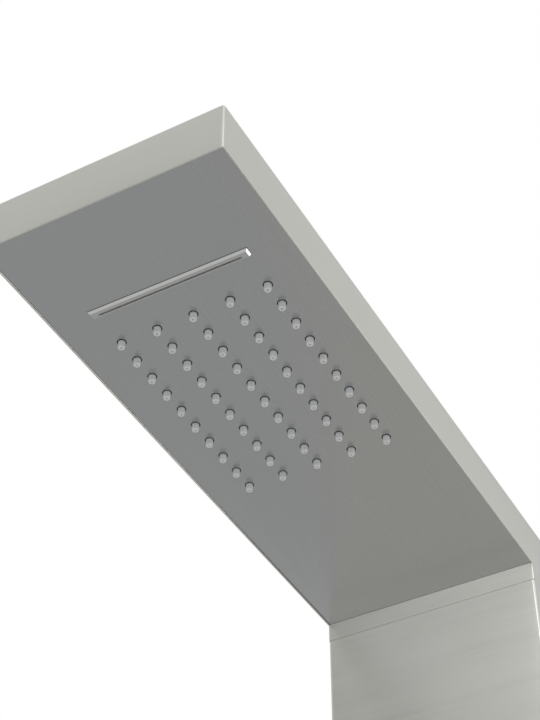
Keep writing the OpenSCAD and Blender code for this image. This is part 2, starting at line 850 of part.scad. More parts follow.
// Turns the children about a valve's own axis at height z
module rotate_about(z, a) {
    translate([0, 0, z]) rotate([0, a, 0]) translate([0, 0, -z]) children();
}
module temp_spindle() {
    color(BRASS) union() {
        axle(mixer_z, spindle_front, spindle_back, spindle_r);
        axle(mixer_z, chamber_front + 0.4, spindle_back + 0.4, sleeve_r - slip);
    }
}
module temp_knob() {
    color(POLISHED) difference() {
        knob_barrel(mixer_z);
        rod_z([0, button_y, mixer_z + knob_r - button_l], button_l + 2, button_r + slip);
    }
}

// The safety button that lets the handle pass its comfort stop
module stop_button() {
    color(RED_PLASTIC) rod_z([0, button_y, mixer_z + knob_r - button_l + button_travel + 1.5],
                             button_l - button_travel, button_r);
}
module diverter_spindle() {
    color(BRASS) axle(diverter_z, spindle_front, spindle_back, spindle_r);
}

// The diverter's knob has a grip bar across its front, which shows where it points
module diverter_knob() {
    color(POLISHED) {
        knob_barrel(diverter_z);
        block([-4, knob_front - 8, diverter_z - knob_r + 2], [4, knob_front, diverter_z + knob_r - 2]);
    }
}

// One jet's housing: a cup through the column's front, with water ports above and below
module jet_housing(i) {
    z = jet_z(i);
    difference() {
        union() {
            axle(z, jet_flange_front, col_front - seal_t, trim_d / 2);
            axle(z, jet_flange_front, housing_back, housing_r);
            rod_z([0, jet_port_y, z - jet_port_l], jet_port_l, port_r);
            if (i > 1) rod_z([0, jet_port_y, z], jet_port_l, port_r);
        }
        axle(z, jet_flange_front - 1, socket_back, housing_bore);
        axle(z, socket_back - 0.5, cavity_back, cavity_r);
        rod_z([0, jet_port_y, z - jet_port_l - 1], jet_port_l + 1, hose_bore);
        if (i > 1) rod_z([0, jet_port_y, z], jet_port_l + 1, hose_bore);
    }
}
module jet_housings() {
    color(WHITE_PLASTIC) for (i = [1 : JETS]) jet_housing(i);
}
module jet_seals() {
    color(RUBBER) for (i = [1 : JETS]) difference() {
        axle(jet_z(i), col_front - seal_t, col_front, trim_d / 2 - 0.5);
        axle(jet_z(i), col_front - 2, col_front + 1, housing_r + run);
    }
}
module jet_nuts() {
    color(WHITE_PLASTIC) for (i = [1 : JETS]) translate([0, col_inner, jet_z(i)]) rotate([-90, 0, 0])
        nut(56, 6.5, housing_r + run);
}

// The bright rings that hold the swivels in their housings
module jet_trims() {
    color(POLISHED) for (i = [1 : JETS]) difference() {
        axle(jet_z(i), trim_front, jet_flange_front, trim_d / 2);
        translate([0, ball_y, jet_z(i)]) sphere(r = ball_r + 0.4);
    }
}

// A ring that turns in the housing and carries the ball on two pins
module jet_swivel(i) {
    z = jet_z(i);
    color(WHITE_PLASTIC) difference() {
        axle(z, jet_flange_front + 0.5, swivel_back, swivel_r);
        translate([0, ball_y, z]) sphere(r = ball_r + slip);
        axle(z, swivel_back - 9, swivel_back + 1, 13);
        rod_x([-swivel_r - 1, ball_y, z], 2 * swivel_r + 2, pin_r + run);
    }
}

// The ball: hollow behind, flat in front, with a ring of spray holes and a hinge pin on each side
module jet_ball(i) {
    z = jet_z(i);
    face_y = ball_y - 12;
    spray_r = 0.9;
    color(POLISHED) difference() {
        union() {
            intersection() {
                translate([0, ball_y, z]) sphere(r = ball_r);
                axle(z, face_y, 0, ball_r + 1);
            }
            difference() {
                rod_x([-swivel_r + 0.3, ball_y, z], 2 * swivel_r - 0.6, pin_r);
                axle(z, ball_y - 8, ball_y + 22, 9.5);
            }
        }
        axle(z, face_y + 4, 0, 9);
        for (a = [0 : 45 : 315]) translate([6 * sin(a), 0, 6 * cos(a)])
            axle(z, face_y - 1, face_y + 5, spray_r);
        axle(z, face_y - 1, face_y + 5, spray_r);
    }
}

head_shell();
face_plate();
nozzle_mat();
rain_chamber();
waterfall_outlet();
waterfall_gasket();
waterfall_chamber();
chamber_nuts();
rain_elbow();
waterfall_elbow();
plate_clips();
gusset_left();
gusset_right();
column_shell();
junction_band();
foot_cap();
foot_cap_screws();
hanger();
bracket_nuts();
wall_plate_upper();
wall_plate_lower();
lock_screws();
mixer_body();
hot_inlet_union();
cold_inlet_union();
thermostatic_cartridge();
regulator_piston();
cartridge_nuts();
lock_rings();
transfer_pipe();
diverter_body();
diverter_cartridge();
diverter_disc();
rain_hose();
waterfall_hose();
jet_feed_hoses();
hand_shower_hose();
hose_nuts();
hand_outlet();
outlet_locknut();
temp_escutcheon();
temp_spindle();
temp_knob();
stop_button();
diverter_escutcheon();
diverter_spindle();
diverter_knob();
jet_housings();
jet_seals();
jet_nuts();
jet_trims();
for (i = [1 : JETS]) {
    jet_swivel(i);
    jet_ball(i);
}
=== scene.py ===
# %% [markdown]
# # A rainfall shower column in sheet steel
# This file dresses a packed engineering model of a wall-hung shower column: a tall folded column
# that turns into a long flat head with a waterfall slot and fifty soft rain nozzles.
# The engineering model says where each part is. Each cell below takes one piece or one finish,
# says what it is on the real shower, and makes it.

import math

import bmesh
import bpy
from mathutils import Matrix, Vector


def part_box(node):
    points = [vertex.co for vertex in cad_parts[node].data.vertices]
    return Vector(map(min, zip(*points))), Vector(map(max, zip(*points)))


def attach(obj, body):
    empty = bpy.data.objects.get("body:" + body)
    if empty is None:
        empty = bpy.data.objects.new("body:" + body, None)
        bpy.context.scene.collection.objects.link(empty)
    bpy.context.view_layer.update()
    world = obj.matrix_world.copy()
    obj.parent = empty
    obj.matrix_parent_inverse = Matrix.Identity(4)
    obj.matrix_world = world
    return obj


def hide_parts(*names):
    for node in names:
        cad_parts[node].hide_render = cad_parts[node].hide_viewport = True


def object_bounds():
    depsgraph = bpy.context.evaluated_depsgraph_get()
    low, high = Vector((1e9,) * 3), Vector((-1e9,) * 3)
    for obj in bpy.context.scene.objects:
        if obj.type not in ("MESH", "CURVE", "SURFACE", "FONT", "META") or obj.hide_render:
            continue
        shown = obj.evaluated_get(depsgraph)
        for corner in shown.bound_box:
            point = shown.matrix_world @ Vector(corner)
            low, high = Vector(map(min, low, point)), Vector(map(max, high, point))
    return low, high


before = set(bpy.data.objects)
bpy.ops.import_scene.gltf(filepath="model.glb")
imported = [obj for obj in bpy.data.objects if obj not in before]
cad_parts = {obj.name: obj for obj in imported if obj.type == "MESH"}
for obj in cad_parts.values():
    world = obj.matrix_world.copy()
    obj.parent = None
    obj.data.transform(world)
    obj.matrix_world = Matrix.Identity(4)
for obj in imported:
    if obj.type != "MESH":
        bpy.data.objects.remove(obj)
cad_low, cad_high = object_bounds()
MM = 0.001
print("engineering model:", [round(v, 4) for v in (*cad_low, *cad_high)])

# %% [markdown]
# ## The camera
# The view looks up at the head's underside from in front of the column's right side. A camera could
# be placed by hand, but an aim point, two angles and a distance are easier to reason about: the
# aim is a point on the head's underside, and the camera backs off from it along the line of sight.
# It is built first, so that every later choice can be judged in the picture it makes.

# %% Camera
UNDERSIDE_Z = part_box("head_shell")[0].z
AIM = Vector((0.0257, -0.4014, UNDERSIDE_Z))
AZIMUTH = math.radians(29.0)
ELEVATION = math.radians(-42.97)
DISTANCE = 1.2847
LENS = 84.85

away = Vector((math.sin(AZIMUTH) * math.cos(ELEVATION),
               -math.cos(AZIMUTH) * math.cos(ELEVATION),
               math.sin(ELEVATION)))
camera = bpy.data.objects.new("camera", bpy.data.cameras.new("camera"))
bpy.context.scene.collection.objects.link(camera)
camera.location = AIM + away * DISTANCE
camera.rotation_mode = "QUATERNION"
camera.rotation_quaternion = (-away).to_track_quat("-Z", "Y")
camera.data.lens = LENS
camera.data.sensor_width = 36
camera.data.clip_start = 0.01
bpy.context.scene.camera = camera
bpy.context.scene.view_settings.view_transform = "Standard"
print("camera at", [round(v, 3) for v in camera.location])

# %% [markdown]
# ## Mesh helpers
# Every new piece goes through the same few steps: a bmesh becomes an object, its faces are shaded
# smooth with the sharp folds marked, it gets a material, and it is tied to the body that it moves
# with. Keeping those steps in one function means that no piece forgets one of them.

# %% Turning a bmesh into a finished piece
def mark_folds(bm, angle=35):
    """Shades every face smooth and keeps the edges sharper than the angle crisp."""
    for face in bm.faces:
        face.smooth = True
    for edge in bm.edges:
        if len(edge.link_faces) == 2:
            edge.smooth = edge.calc_face_angle(0.0) < math.radians(angle)


def face_outwards(bm):
    """Turns the faces outwards, on an open skin as well as on a closed body."""
    bmesh.ops.recalc_face_normals(bm, faces=bm.faces)
    middle = sum((v.co for v in bm.verts), Vector()) / len(bm.verts)
    facing = sum((f.calc_center_median() - middle).dot(f.normal) * f.calc_area() for f in bm.faces)
    if facing < 0:
        bmesh.ops.reverse_faces(bm, faces=bm.faces)


def piece(name, bm, material, body="panel", stands_for=()):
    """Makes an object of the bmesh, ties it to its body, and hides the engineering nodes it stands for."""
    face_outwards(bm)
    mark_folds(bm)
    mesh = bpy.data.meshes.new(name)
    bm.to_mesh(mesh)
    bm.free()
    mesh.materials.append(material)
    made = bpy.data.objects.new(name, mesh)
    bpy.context.scene.collection.objects.link(made)
    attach(made, body)
    if stands_for:
        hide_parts(*stands_for)
    return made


# %% [markdown]
# Sheet metal and machined parts never have razor edges. A Bevel modifier with hardened normals
# rounds each sharp edge by a fraction of a millimetre, which is what catches the light, and leaves
# the big faces flat. A Solidify modifier gives a folded skin the thickness of the real sheet.

# %% Edges, thickness and holes
SHEARED_EDGE, TURNED_EDGE = 0.2 * MM, 0.15 * MM


def round_edges(made, width, segments=2, angle=40):
    bevel = made.modifiers.new("rounded edges", "BEVEL")
    bevel.width = width
    bevel.segments = segments
    bevel.limit_method = "ANGLE"
    bevel.angle_limit = math.radians(angle)
    bevel.harden_normals = True
    bevel.miter_outer = "MITER_ARC"
    return made


def thicken(made, thickness):
    """Gives a skin its sheet thickness, inwards from the faces that were drawn."""
    wall = made.modifiers.new("sheet thickness", "SOLIDIFY")
    wall.thickness = thickness
    wall.offset = -1
    wall.use_even_offset = True
    return made


def settle(made):
    """Turns the modifiers so far into real mesh, so that the next step can build on it."""
    graph = bpy.context.evaluated_depsgraph_get()
    solid = bpy.data.meshes.new_from_object(made.evaluated_get(graph))
    old = made.data
    made.modifiers.clear()
    made.data = solid
    bpy.data.meshes.remove(old)


def cut(made, cutter_bm, angle=35):
    """Cuts the cutter's solids out of a piece, and keeps the new edges crisp."""
    bmesh.ops.recalc_face_normals(cutter_bm, faces=cutter_bm.faces)
    cutter_mesh = bpy.data.meshes.new("cutter")
    cutter_bm.to_mesh(cutter_mesh)
    cutter_bm.free()
    cutter = bpy.data.objects.new("cutter", cutter_mesh)
    bpy.context.scene.collection.objects.link(cutter)
    hole = made.modifiers.new("holes", "BOOLEAN")
    hole.object = cutter
    hole.operation = "DIFFERENCE"
    hole.solver = "EXACT"
    settle(made)
    bpy.data.objects.remove(cutter)
    made.data.set_sharp_from_angle(angle=math.radians(angle))
    return made


# %% [markdown]
# Three shapes come back all the time: a box between two corners, a rod along an axis, and a turned
# profile. The first two start from a bmesh create operator, and the last one spins a short line of
# vertices about an axis, the way a lathe would. Bends and worn corners are bevels on chosen edges.

# %% Boxes, rods and turned profiles
TURNED = {"X": Matrix.Rotation(math.pi / 2, 4, "Y"),
          "Y": Matrix.Rotation(-math.pi / 2, 4, "X"),
          "Z": Matrix.Identity(4)}


def add_box(bm, low, high):
    size = [high[i] - low[i] for i in range(3)]
    middle = [(high[i] + low[i]) / 2 for i in range(3)]
    bmesh.ops.create_cube(bm, size=1, matrix=Matrix.Translation(middle) @ Matrix.Diagonal((*size, 1)))


def add_rod(bm, centre, axis, length, radius, sides=48):
    matrix = Matrix.Translation(centre) @ TURNED[axis]
    return bmesh.ops.create_cone(bm, cap_ends=True, segments=sides, radius1=radius, radius2=radius,
                                 depth=length, matrix=matrix)["verts"]


def bend_edges(bm, edges, radius, segments):
    """Turns chosen edges of a bmesh into round bends."""
    bmesh.ops.bevel(bm, geom=edges, offset=radius, affect="EDGES", segments=segments, profile=0.5,
                    material=-1)


def spin_profile(bm, points, centre, axis, steps=64):
    """Spins (radius, height) points a full turn about an axis through the centre."""
    matrix = Matrix.Translation(centre) @ TURNED[axis]
    line = [bm.verts.new((radius, 0, height)) for radius, height in points]
    edges = [bm.edges.new(pair) for pair in zip(line, line[1:])]
    before = set(bm.verts) - set(line)
    bmesh.ops.spin(bm, geom=line + edges, cent=(0, 0, 0), axis=(0, 0, 1), angle=2 * math.pi,
                   steps=steps, use_merge=True)
    turned = [v for v in bm.verts if v not in before]
    bmesh.ops.remove_doubles(bm, verts=turned, dist=1e-6)
    turned = [v for v in bm.verts if v not in before]
    bmesh.ops.transform(bm, matrix=matrix, verts=turned)


def arc(centre, radius, start, end, steps=6):
    """Points of an arc in (radius, height) space, with its angles in degrees."""
    angles = [math.radians(start + (end - start) * k / steps) for k in range(steps + 1)]
    return [(centre[0] + radius * math.cos(a), centre[1] + radius * math.sin(a)) for a in angles]


# %% [markdown]
# ## Finishes
# Every surface of the real shower has its own finish: brushed sheet on the casing, a darker and more
# mirror-like sheet under the head, polished trim, brass, zinc, rubber, silicone and white plastic.
# A painted picture could carry such detail, but patterns worked out from the surface's own
# coordinates never blur and need no file. What several finishes share is made once, as a node
# group with named inputs, and each finish places the group with its own values.

# %% Node helpers
def new_group(name, inputs, outputs):
    """An empty node group with its sockets, and its input and output nodes."""
    group = bpy.data.node_groups.new(name, "ShaderNodeTree")
    for label, kind, value in inputs:
        socket = group.interface.new_socket(label, in_out="INPUT", socket_type=kind)
        socket.default_value = value
    for label, kind in outputs:
        group.interface.new_socket(label, in_out="OUTPUT", socket_type=kind)
    return group, group.nodes.new("NodeGroupInput"), group.nodes.new("NodeGroupOutput")


def add(tree, kind, settings=None, **inputs):
    """Adds a node, sets its properties, and sets or links its inputs by name."""
    node = tree.nodes.new(kind)
    for label, value in (settings or {}).items():
        setattr(node, label, value)
    for label, value in inputs.items():
        feed(tree, value, node.inputs[label.replace("_", " ")])
    return node


def feed(tree, value, socket):
    """Links a socket to another one, or sets its plain value."""
    if isinstance(value, bpy.types.NodeSocket):
        tree.links.new(value, socket)
    else:
        socket.default_value = value


def maths(tree, operation, first, second=0.0, clamp=False):
    node = add(tree, "ShaderNodeMath", {"operation": operation, "use_clamp": clamp})
    feed(tree, first, node.inputs[0])
    feed(tree, second, node.inputs[1])
    return node.outputs[0]


def blend_colours(tree, factor, first, second):
    node = add(tree, "ShaderNodeMix", {"data_type": "RGBA"})
    feed(tree, factor, node.inputs["Factor"])
    feed(tree, first, node.inputs["A"])
    feed(tree, second, node.inputs["B"])
    return node.outputs["Result"]


def spread(tree, value, low, high, new_low=0.0, new_high=1.0):
    """Stretches a value from one range to another, and clamps it."""
    node = add(tree, "ShaderNodeMapRange", Value=value)
    limits = {"From Min": low, "From Max": high, "To Min": new_low, "To Max": new_high}
    for label, number in limits.items():
        node.inputs[label].default_value = number
    return node.outputs["Result"]


# %% [markdown]
# **Brush grain.** Sheet is brushed by a belt that runs along it, so the scratches are long and
# thin. Noise that is squeezed across the belt and stretched along it looks the same. Upright faces
# get level lines. Faces that look up or down would show no level lines, so there the lines run along
# the head, and the surface's own normal chooses between the two.

# %% Brush grain group
def make_brush_grain():
    tree, entry, leave = new_group(
        "Brush grain",
        [("Lines", "NodeSocketFloat", 900.0), ("Length", "NodeSocketFloat", 14.0)],
        [("Streak", "NodeSocketFloat"), ("Height", "NodeSocketFloat")])
    place = add(tree, "ShaderNodeTexCoord").outputs["Object"]
    normal = add(tree, "ShaderNodeSeparateXYZ", Vector=add(tree, "ShaderNodeNewGeometry").outputs["Normal"])
    lines, length = entry.outputs["Lines"], entry.outputs["Length"]
    level = add(tree, "ShaderNodeCombineXYZ", X=length, Y=length, Z=lines).outputs[0]
    along = add(tree, "ShaderNodeCombineXYZ", X=lines, Y=length, Z=length).outputs[0]
    flat = maths(tree, "GREATER_THAN", maths(tree, "ABSOLUTE", normal.outputs["Z"]), 0.7)
    choose = add(tree, "ShaderNodeMix", {"data_type": "VECTOR"})
    feed(tree, flat, choose.inputs["Factor"])
    feed(tree, level, choose.inputs[4])
    feed(tree, along, choose.inputs[5])
    squeezed = add(tree, "ShaderNodeVectorMath", {"operation": "MULTIPLY"})
    feed(tree, place, squeezed.inputs[0])
    feed(tree, choose.outputs[1], squeezed.inputs[1])
    fine = add(tree, "ShaderNodeTexNoise", Vector=squeezed.outputs[0], Scale=1.0, Detail=3.0, Roughness=0.65)
    broad = add(tree, "ShaderNodeTexNoise", Vector=squeezed.outputs[0], Scale=0.17, Detail=2.0)
    mixed = maths(tree, "ADD", maths(tree, "MULTIPLY", fine.outputs["Fac"], 0.6),
                  maths(tree, "MULTIPLY", broad.outputs["Fac"], 0.4))
    streak = spread(tree, mixed, 0.36, 0.64)
    tree.links.new(streak, leave.inputs["Streak"])
    tree.links.new(fine.outputs["Fac"], leave.inputs["Height"])
    return tree


BRUSH_GRAIN = make_brush_grain()


# %% [markdown]
# **Slow drift.** No real surface is even over its whole length: rolling, cleaning and handling
# leave slow clouds in tone and gloss. Two soft noises of different sizes give one value that each
# finish uses for a few per cent of change.

# %% Slow drift group
def make_slow_drift():
    tree, entry, leave = new_group(
        "Slow drift",
        [("Size", "NodeSocketFloat", 5.0), ("Low", "NodeSocketFloat", 0.0), ("High", "NodeSocketFloat", 1.0)],
        [("Drift", "NodeSocketFloat")])
    place = add(tree, "ShaderNodeTexCoord").outputs["Object"]
    cloud = add(tree, "ShaderNodeTexNoise", Vector=place, Scale=entry.outputs["Size"], Detail=2.0)
    small = add(tree, "ShaderNodeTexNoise", Vector=place, Detail=3.0,
                Scale=maths(tree, "MULTIPLY", entry.outputs["Size"], 6.3))
    both = maths(tree, "ADD", maths(tree, "MULTIPLY", cloud.outputs["Fac"], 0.7),
                 maths(tree, "MULTIPLY", small.outputs["Fac"], 0.3))
    even = spread(tree, both, 0.35, 0.65)
    reach = maths(tree, "SUBTRACT", entry.outputs["High"], entry.outputs["Low"])
    drift = maths(tree, "ADD", entry.outputs["Low"], maths(tree, "MULTIPLY", even, reach))
    tree.links.new(drift, leave.inputs["Drift"])
    return tree


SLOW_DRIFT = make_slow_drift()


# %% [markdown]
# **Fine speckle.** Moulded, cast and plated skins have a grain too small to see one by one. A quick
# noise gives it, as a mask for colour and as a height for the bump.

# %% Fine speckle group
def make_fine_speckle():
    tree, entry, leave = new_group(
        "Fine speckle",
        [("Grains", "NodeSocketFloat", 1500.0), ("Contrast", "NodeSocketFloat", 0.5)],
        [("Speckle", "NodeSocketFloat"), ("Height", "NodeSocketFloat")])
    place = add(tree, "ShaderNodeTexCoord").outputs["Object"]
    noise = add(tree, "ShaderNodeTexNoise", Vector=place, Scale=entry.outputs["Grains"], Detail=2.0)
    centred = maths(tree, "SUBTRACT", noise.outputs["Fac"], 0.5)
    speckle = maths(tree, "ADD", maths(tree, "MULTIPLY", centred, entry.outputs["Contrast"]), 0.5, clamp=True)
    tree.links.new(speckle, leave.inputs["Speckle"])
    tree.links.new(noise.outputs["Fac"], leave.inputs["Height"])
    return tree


FINE_SPECKLE = make_fine_speckle()


# %% [markdown]
# A finish starts as a Principled shader. The helpers below open a material, place a shared group in
# it, and join the results to the shader's roughness and normal.

# %% Material helpers
def open_material(name, **sockets):
    """A new material, its tree and its Principled shader, with the plain values already set."""
    material = bpy.data.materials.new(name)
    material.use_nodes = True
    tree = material.node_tree
    shader = tree.nodes["Principled BSDF"]
    for label, value in sockets.items():
        shader.inputs[label.replace("_", " ")].default_value = value
    return material, tree, shader


def place_group(tree, group, **inputs):
    node = add(tree, "ShaderNodeGroup", {"node_tree": group})
    for label, value in inputs.items():
        node.inputs[label].default_value = value
    return node


def add_bump(tree, shader, height, strength, distance):
    bump = add(tree, "ShaderNodeBump", Height=height, Strength=strength, Distance=distance)
    tree.links.new(bump.outputs["Normal"], shader.inputs["Normal"])


def shade(colour, factor):
    """A colour made lighter or darker, with its alpha."""
    return (*[min(1.0, c * factor) for c in colour[:3]], 1.0)


def vary_roughness(tree, shader, drift, low, high):
    """Lets the roughness wander between two values with the slow drift."""
    rough = spread(tree, drift.outputs["Drift"], 0.0, 1.0, low, high)
    tree.links.new(rough, shader.inputs["Roughness"])


# %% [markdown]
# ** Sheet steel.** The casing and the underside are the same metal. The casing is brushed and light.
# The underside has been polished further, so it is smoother and mirrors the darker room below. Its colour
# is also set darker than the casing's, as painted shade for a face that looks down. One function makes
# both, from a colour, a range of roughness and the strength of the lines.

# %% Sheet steel
def make_sheet_steel(name, colour, rough, contrast, lines, length, bump):
    material, tree, shader = open_material(name, Metallic=1.0)
    grain = place_group(tree, BRUSH_GRAIN, Lines=lines, Length=length)
    drift = place_group(tree, SLOW_DRIFT, Size=4.0, Low=1.0 - contrast, High=1.0 + contrast)
    streaked = blend_colours(tree, grain.outputs["Streak"],
                             shade(colour, 1 - contrast), shade(colour, 1 + contrast))
    clouded = add(tree, "ShaderNodeVectorMath", {"operation": "SCALE"})
    feed(tree, streaked, clouded.inputs[0])
    feed(tree, drift.outputs["Drift"], clouded.inputs["Scale"])
    tree.links.new(clouded.outputs[0], shader.inputs["Base Color"])
    uneven = maths(tree, "MULTIPLY", grain.outputs["Streak"], rough[1] - rough[0])
    roughness = maths(tree, "MULTIPLY", maths(tree, "ADD", uneven, rough[0]), drift.outputs["Drift"])
    tree.links.new(roughness, shader.inputs["Roughness"])
    add_bump(tree, shader, grain.outputs["Height"], bump, 0.0002)
    return material


BRUSHED = make_sheet_steel("brushed casing steel", (0.700, 0.698, 0.655), rough=(0.34, 0.38),
                           contrast=0.02, lines=750, length=10, bump=0.06)
# The underside's darker colour is painted shade: it is the casing's metal, made darker because it faces down.
UNDERSIDE_WITH_PAINTED_SHADE = make_sheet_steel("semi-polished underside steel, darker as painted shade", (0.525, 0.525, 0.535), rough=(0.24, 0.28),
                             contrast=0.008, lines=900, length=6, bump=0.02)


# %% [markdown]
# **Polished metal.** Trim and knobs are bright plated metal. It is almost a mirror, with faint wiping
# marks that show as a change in gloss and a very small one in tone. The waterfall's lip is made the
# same way, but greyer and twice as rough, which gives it a satin look.

# %% Polished metal
def make_polished(name, colour, rough):
    material, tree, shader = open_material(name, Metallic=1.0)
    glossiest, dullest = 0.8, 1.25
    drift = place_group(tree, SLOW_DRIFT, Size=30.0, Low=glossiest, High=dullest)
    wiped = maths(tree, "MULTIPLY", drift.outputs["Drift"], rough)
    tree.links.new(wiped, shader.inputs["Roughness"])
    tone = spread(tree, drift.outputs["Drift"], glossiest, dullest)
    toned = blend_colours(tree, tone, shade(colour, 0.985), shade(colour, 1.015))
    tree.links.new(toned, shader.inputs["Base Color"])
    return material


POLISHED = make_polished("polished plating", (0.80, 0.80, 0.79), rough=0.10)
SATIN_LIP = make_polished("satin lip", (0.63, 0.63, 0.62), rough=0.22)


# %% [markdown]
# **Turned and plated fittings.** Brass fittings and zinc-plated brackets are working metal that
# nobody polishes: their tone wanders more, and a fine speckle roughens them.

# %% Working metal
def make_working_metal(name, colour, rough, grains):
    material, tree, shader = open_material(name, Metallic=1.0)
    speckle = place_group(tree, FINE_SPECKLE, Grains=grains, Contrast=0.9)
    drift = place_group(tree, SLOW_DRIFT, Size=22.0, Low=0.0, High=1.0)
    mottled = blend_colours(tree, drift.outputs["Drift"], shade(colour, 0.86), shade(colour, 1.08))
    grainy = blend_colours(tree, speckle.outputs["Speckle"], shade(colour, 0.90), mottled)
    tree.links.new(grainy, shader.inputs["Base Color"])
    vary_roughness(tree, shader, drift, rough - 0.07, rough + 0.08)
    add_bump(tree, shader, speckle.outputs["Height"], 0.15, 0.0003)
    return material


BRASS = make_working_metal("turned brass", (0.80, 0.61, 0.30), rough=0.32, grains=900.0)
ZINC = make_working_metal("zinc-plated steel", (0.62, 0.64, 0.67), rough=0.40, grains=420.0)


# %% [markdown]
# ** Soft and moulded parts.** Silicone lets some light in, so it takes a little subsurface
# scattering. Above the plate's underside it is painted almost black: painted shade for the deep, narrow gap
# round each nozzle's root inside the plate's holes. Rubber is dark and dull, and the plastics differ only in
# colour and gloss, so one function makes them all.

# %% Plastics, rubber and silicone
def make_moulded(name, colour, rough, bump=0.08, painted_shade_above=None, **sockets):
    material, tree, shader = open_material(name, **sockets)
    speckle = place_group(tree, FINE_SPECKLE, Grains=1800.0, Contrast=0.8)
    drift = place_group(tree, SLOW_DRIFT, Size=35.0, Low=0.0, High=1.0)
    tone = blend_colours(tree, drift.outputs["Drift"], shade(colour, 0.94), shade(colour, 1.04))
    grainy = blend_colours(tree, speckle.outputs["Speckle"], shade(colour, 0.97), tone)
    # Painted shade: above the given height the colour goes almost black, for the shade in the gap round each
    # nozzle's root.
    if painted_shade_above is not None:
        place = add(tree, "ShaderNodeSeparateXYZ", Vector=add(tree, "ShaderNodeTexCoord").outputs["Object"])
        gap_shade = spread(tree, place.outputs["Z"], painted_shade_above - 0.4 * MM, painted_shade_above + 0.1 * MM)
        grainy = blend_colours(tree, gap_shade, grainy, shade(colour, 0.05))
    tree.links.new(grainy, shader.inputs["Base Color"])
    vary_roughness(tree, shader, drift, rough - 0.05, rough + 0.06)
    add_bump(tree, shader, speckle.outputs["Height"], bump, 0.0002)
    return material


SILICONE = make_moulded("grey silicone", (0.80, 0.805, 0.81), rough=0.42,
                        painted_shade_above=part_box("face_plate")[0].z, Subsurface_Weight=0.2,
                        Subsurface_Scale=0.001, Subsurface_Radius=(1.0, 0.9, 0.8))
RUBBER = make_moulded("black rubber", (0.030, 0.030, 0.031), rough=0.62)
WHITE_PLASTIC = make_moulded("white moulded plastic", (0.80, 0.80, 0.78), rough=0.38)
CERAMIC = make_moulded("ground ceramic", (0.86, 0.85, 0.81), rough=0.16, bump=0.02)
RED_PLASTIC = make_moulded("red moulded plastic", (0.55, 0.035, 0.025), rough=0.22, bump=0.03,
                           Coat_Weight=0.4)


# %% [markdown]
# **Wire braid.** A shower hose is a rubber tube inside a sleeve of woven steel wire. Two sets of
# strands wind round it in opposite senses and pass over and under each other. The hose's own UV map
# says how far round and how far along a point is, so two slanted waves give both sets of strands.

# %% Wire braid
STRANDS_ROUND, STRANDS_PER_METRE = 12.0, 190.0


def make_braid():
    material, tree, shader = open_material("woven wire braid", Metallic=0.9)
    place = add(tree, "ShaderNodeSeparateXYZ", Vector=add(tree, "ShaderNodeTexCoord").outputs["UV"])
    turns = maths(tree, "MULTIPLY", place.outputs["X"], STRANDS_ROUND)
    along = maths(tree, "MULTIPLY", place.outputs["Y"], STRANDS_PER_METRE)
    waves = []
    for slant in ("ADD", "SUBTRACT"):
        phase = maths(tree, "MULTIPLY", maths(tree, slant, turns, along), 2 * math.pi)
        waves.append(maths(tree, "SINE", phase))
    over = maths(tree, "GREATER_THAN", maths(tree, "MULTIPLY", waves[0], waves[1]), 0.0)
    strand = maths(tree, "ABSOLUTE", maths(tree, "MAXIMUM", waves[0], waves[1]))
    height = maths(tree, "MULTIPLY", strand, maths(tree, "ADD", maths(tree, "MULTIPLY", over, 0.35), 0.65))
    colour = blend_colours(tree, height, (0.10, 0.10, 0.10, 1), (0.66, 0.67, 0.68, 1))
    tree.links.new(colour, shader.inputs["Base Color"])
    tree.links.new(spread(tree, height, 0.0, 1.0, 0.55, 0.30), shader.inputs["Roughness"])
    add_bump(tree, shader, height, 0.6, 0.0006)
    return material


BRAID = make_braid()
print("materials made:", len(bpy.data.materials))

# %% [markdown]
# ## The head's casing
# The head is a long flat box of folded sheet, open below. A solid block would look the same from
# outside, but the real one is 1.5 mm sheet with a bend radius, and its rim shows as a thin bright line
# beside the underside. So the box loses its bottom face, its folds are bevelled round, and the skin is
# then given its thickness.

# %% Head casing
SHEET = 1.5 * MM
BEND = 2.6 * MM


def folded_box(low, high, open_side, bend, segments=5):
    """A box without its face towards open_side, with every fold that is left bent round."""
    bm = bmesh.new()
    add_box(bm, low, high)
    gone = max(bm.faces, key=lambda f: f.calc_center_median().dot(open_side))
    bmesh.ops.delete(bm, geom=[gone], context="FACES_ONLY")
    bend_edges(bm, [e for e in bm.edges if len(e.link_faces) == 2], bend, segments)
    return bm


head_low, head_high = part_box("head_shell")
casing = piece("head_casing", folded_box(head_low, head_high, Vector((0, 0, -1)), BEND), BRUSHED,
               stands_for=["head_shell"])
round_edges(thicken(casing, SHEET), 0.5 * MM, segments=3)
print("head:", [round(v / MM, 1) for v in head_high - head_low], "mm")

# %% [markdown]
# ## The underside
# The underside is a shallow tray of smoother sheet that fills the casing from wall to wall. Its bends
# are tight, so only a fine line shows between it and the casing. The holes for the nozzles and the lip
# are cut with a boolean once the tray has its thickness, because a hole that is cut in real material
# gets real edges.

# %% Where the nozzles and the waterfall are
mat_low, mat_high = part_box("nozzle_mat")
outlet_low, outlet_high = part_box("waterfall_outlet")
plate_low, plate_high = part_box("face_plate")
PITCH = Vector((31.3 * MM, 21.6 * MM))
COLUMNS, ROWS = 5, 10
HOLE_R = 3.8 * MM

field_middle = (mat_low + mat_high) / 2
nozzle_places = [Vector(((i - (COLUMNS - 1) / 2) * PITCH.x,
                         field_middle.y + (j - (ROWS - 1) / 2) * PITCH.y, 0))
                 for i in range(COLUMNS) for j in range(ROWS)]
LIP = Vector((135 * MM, 7 * MM))
SLIT = Vector((121 * MM, 1.4 * MM))
LIP_BEFORE_FLANGE_END = 11 * MM
slot_y = outlet_high.y - LIP_BEFORE_FLANGE_END
print(len(nozzle_places), "nozzles, waterfall lip at y", round(slot_y / MM, 1), "mm")

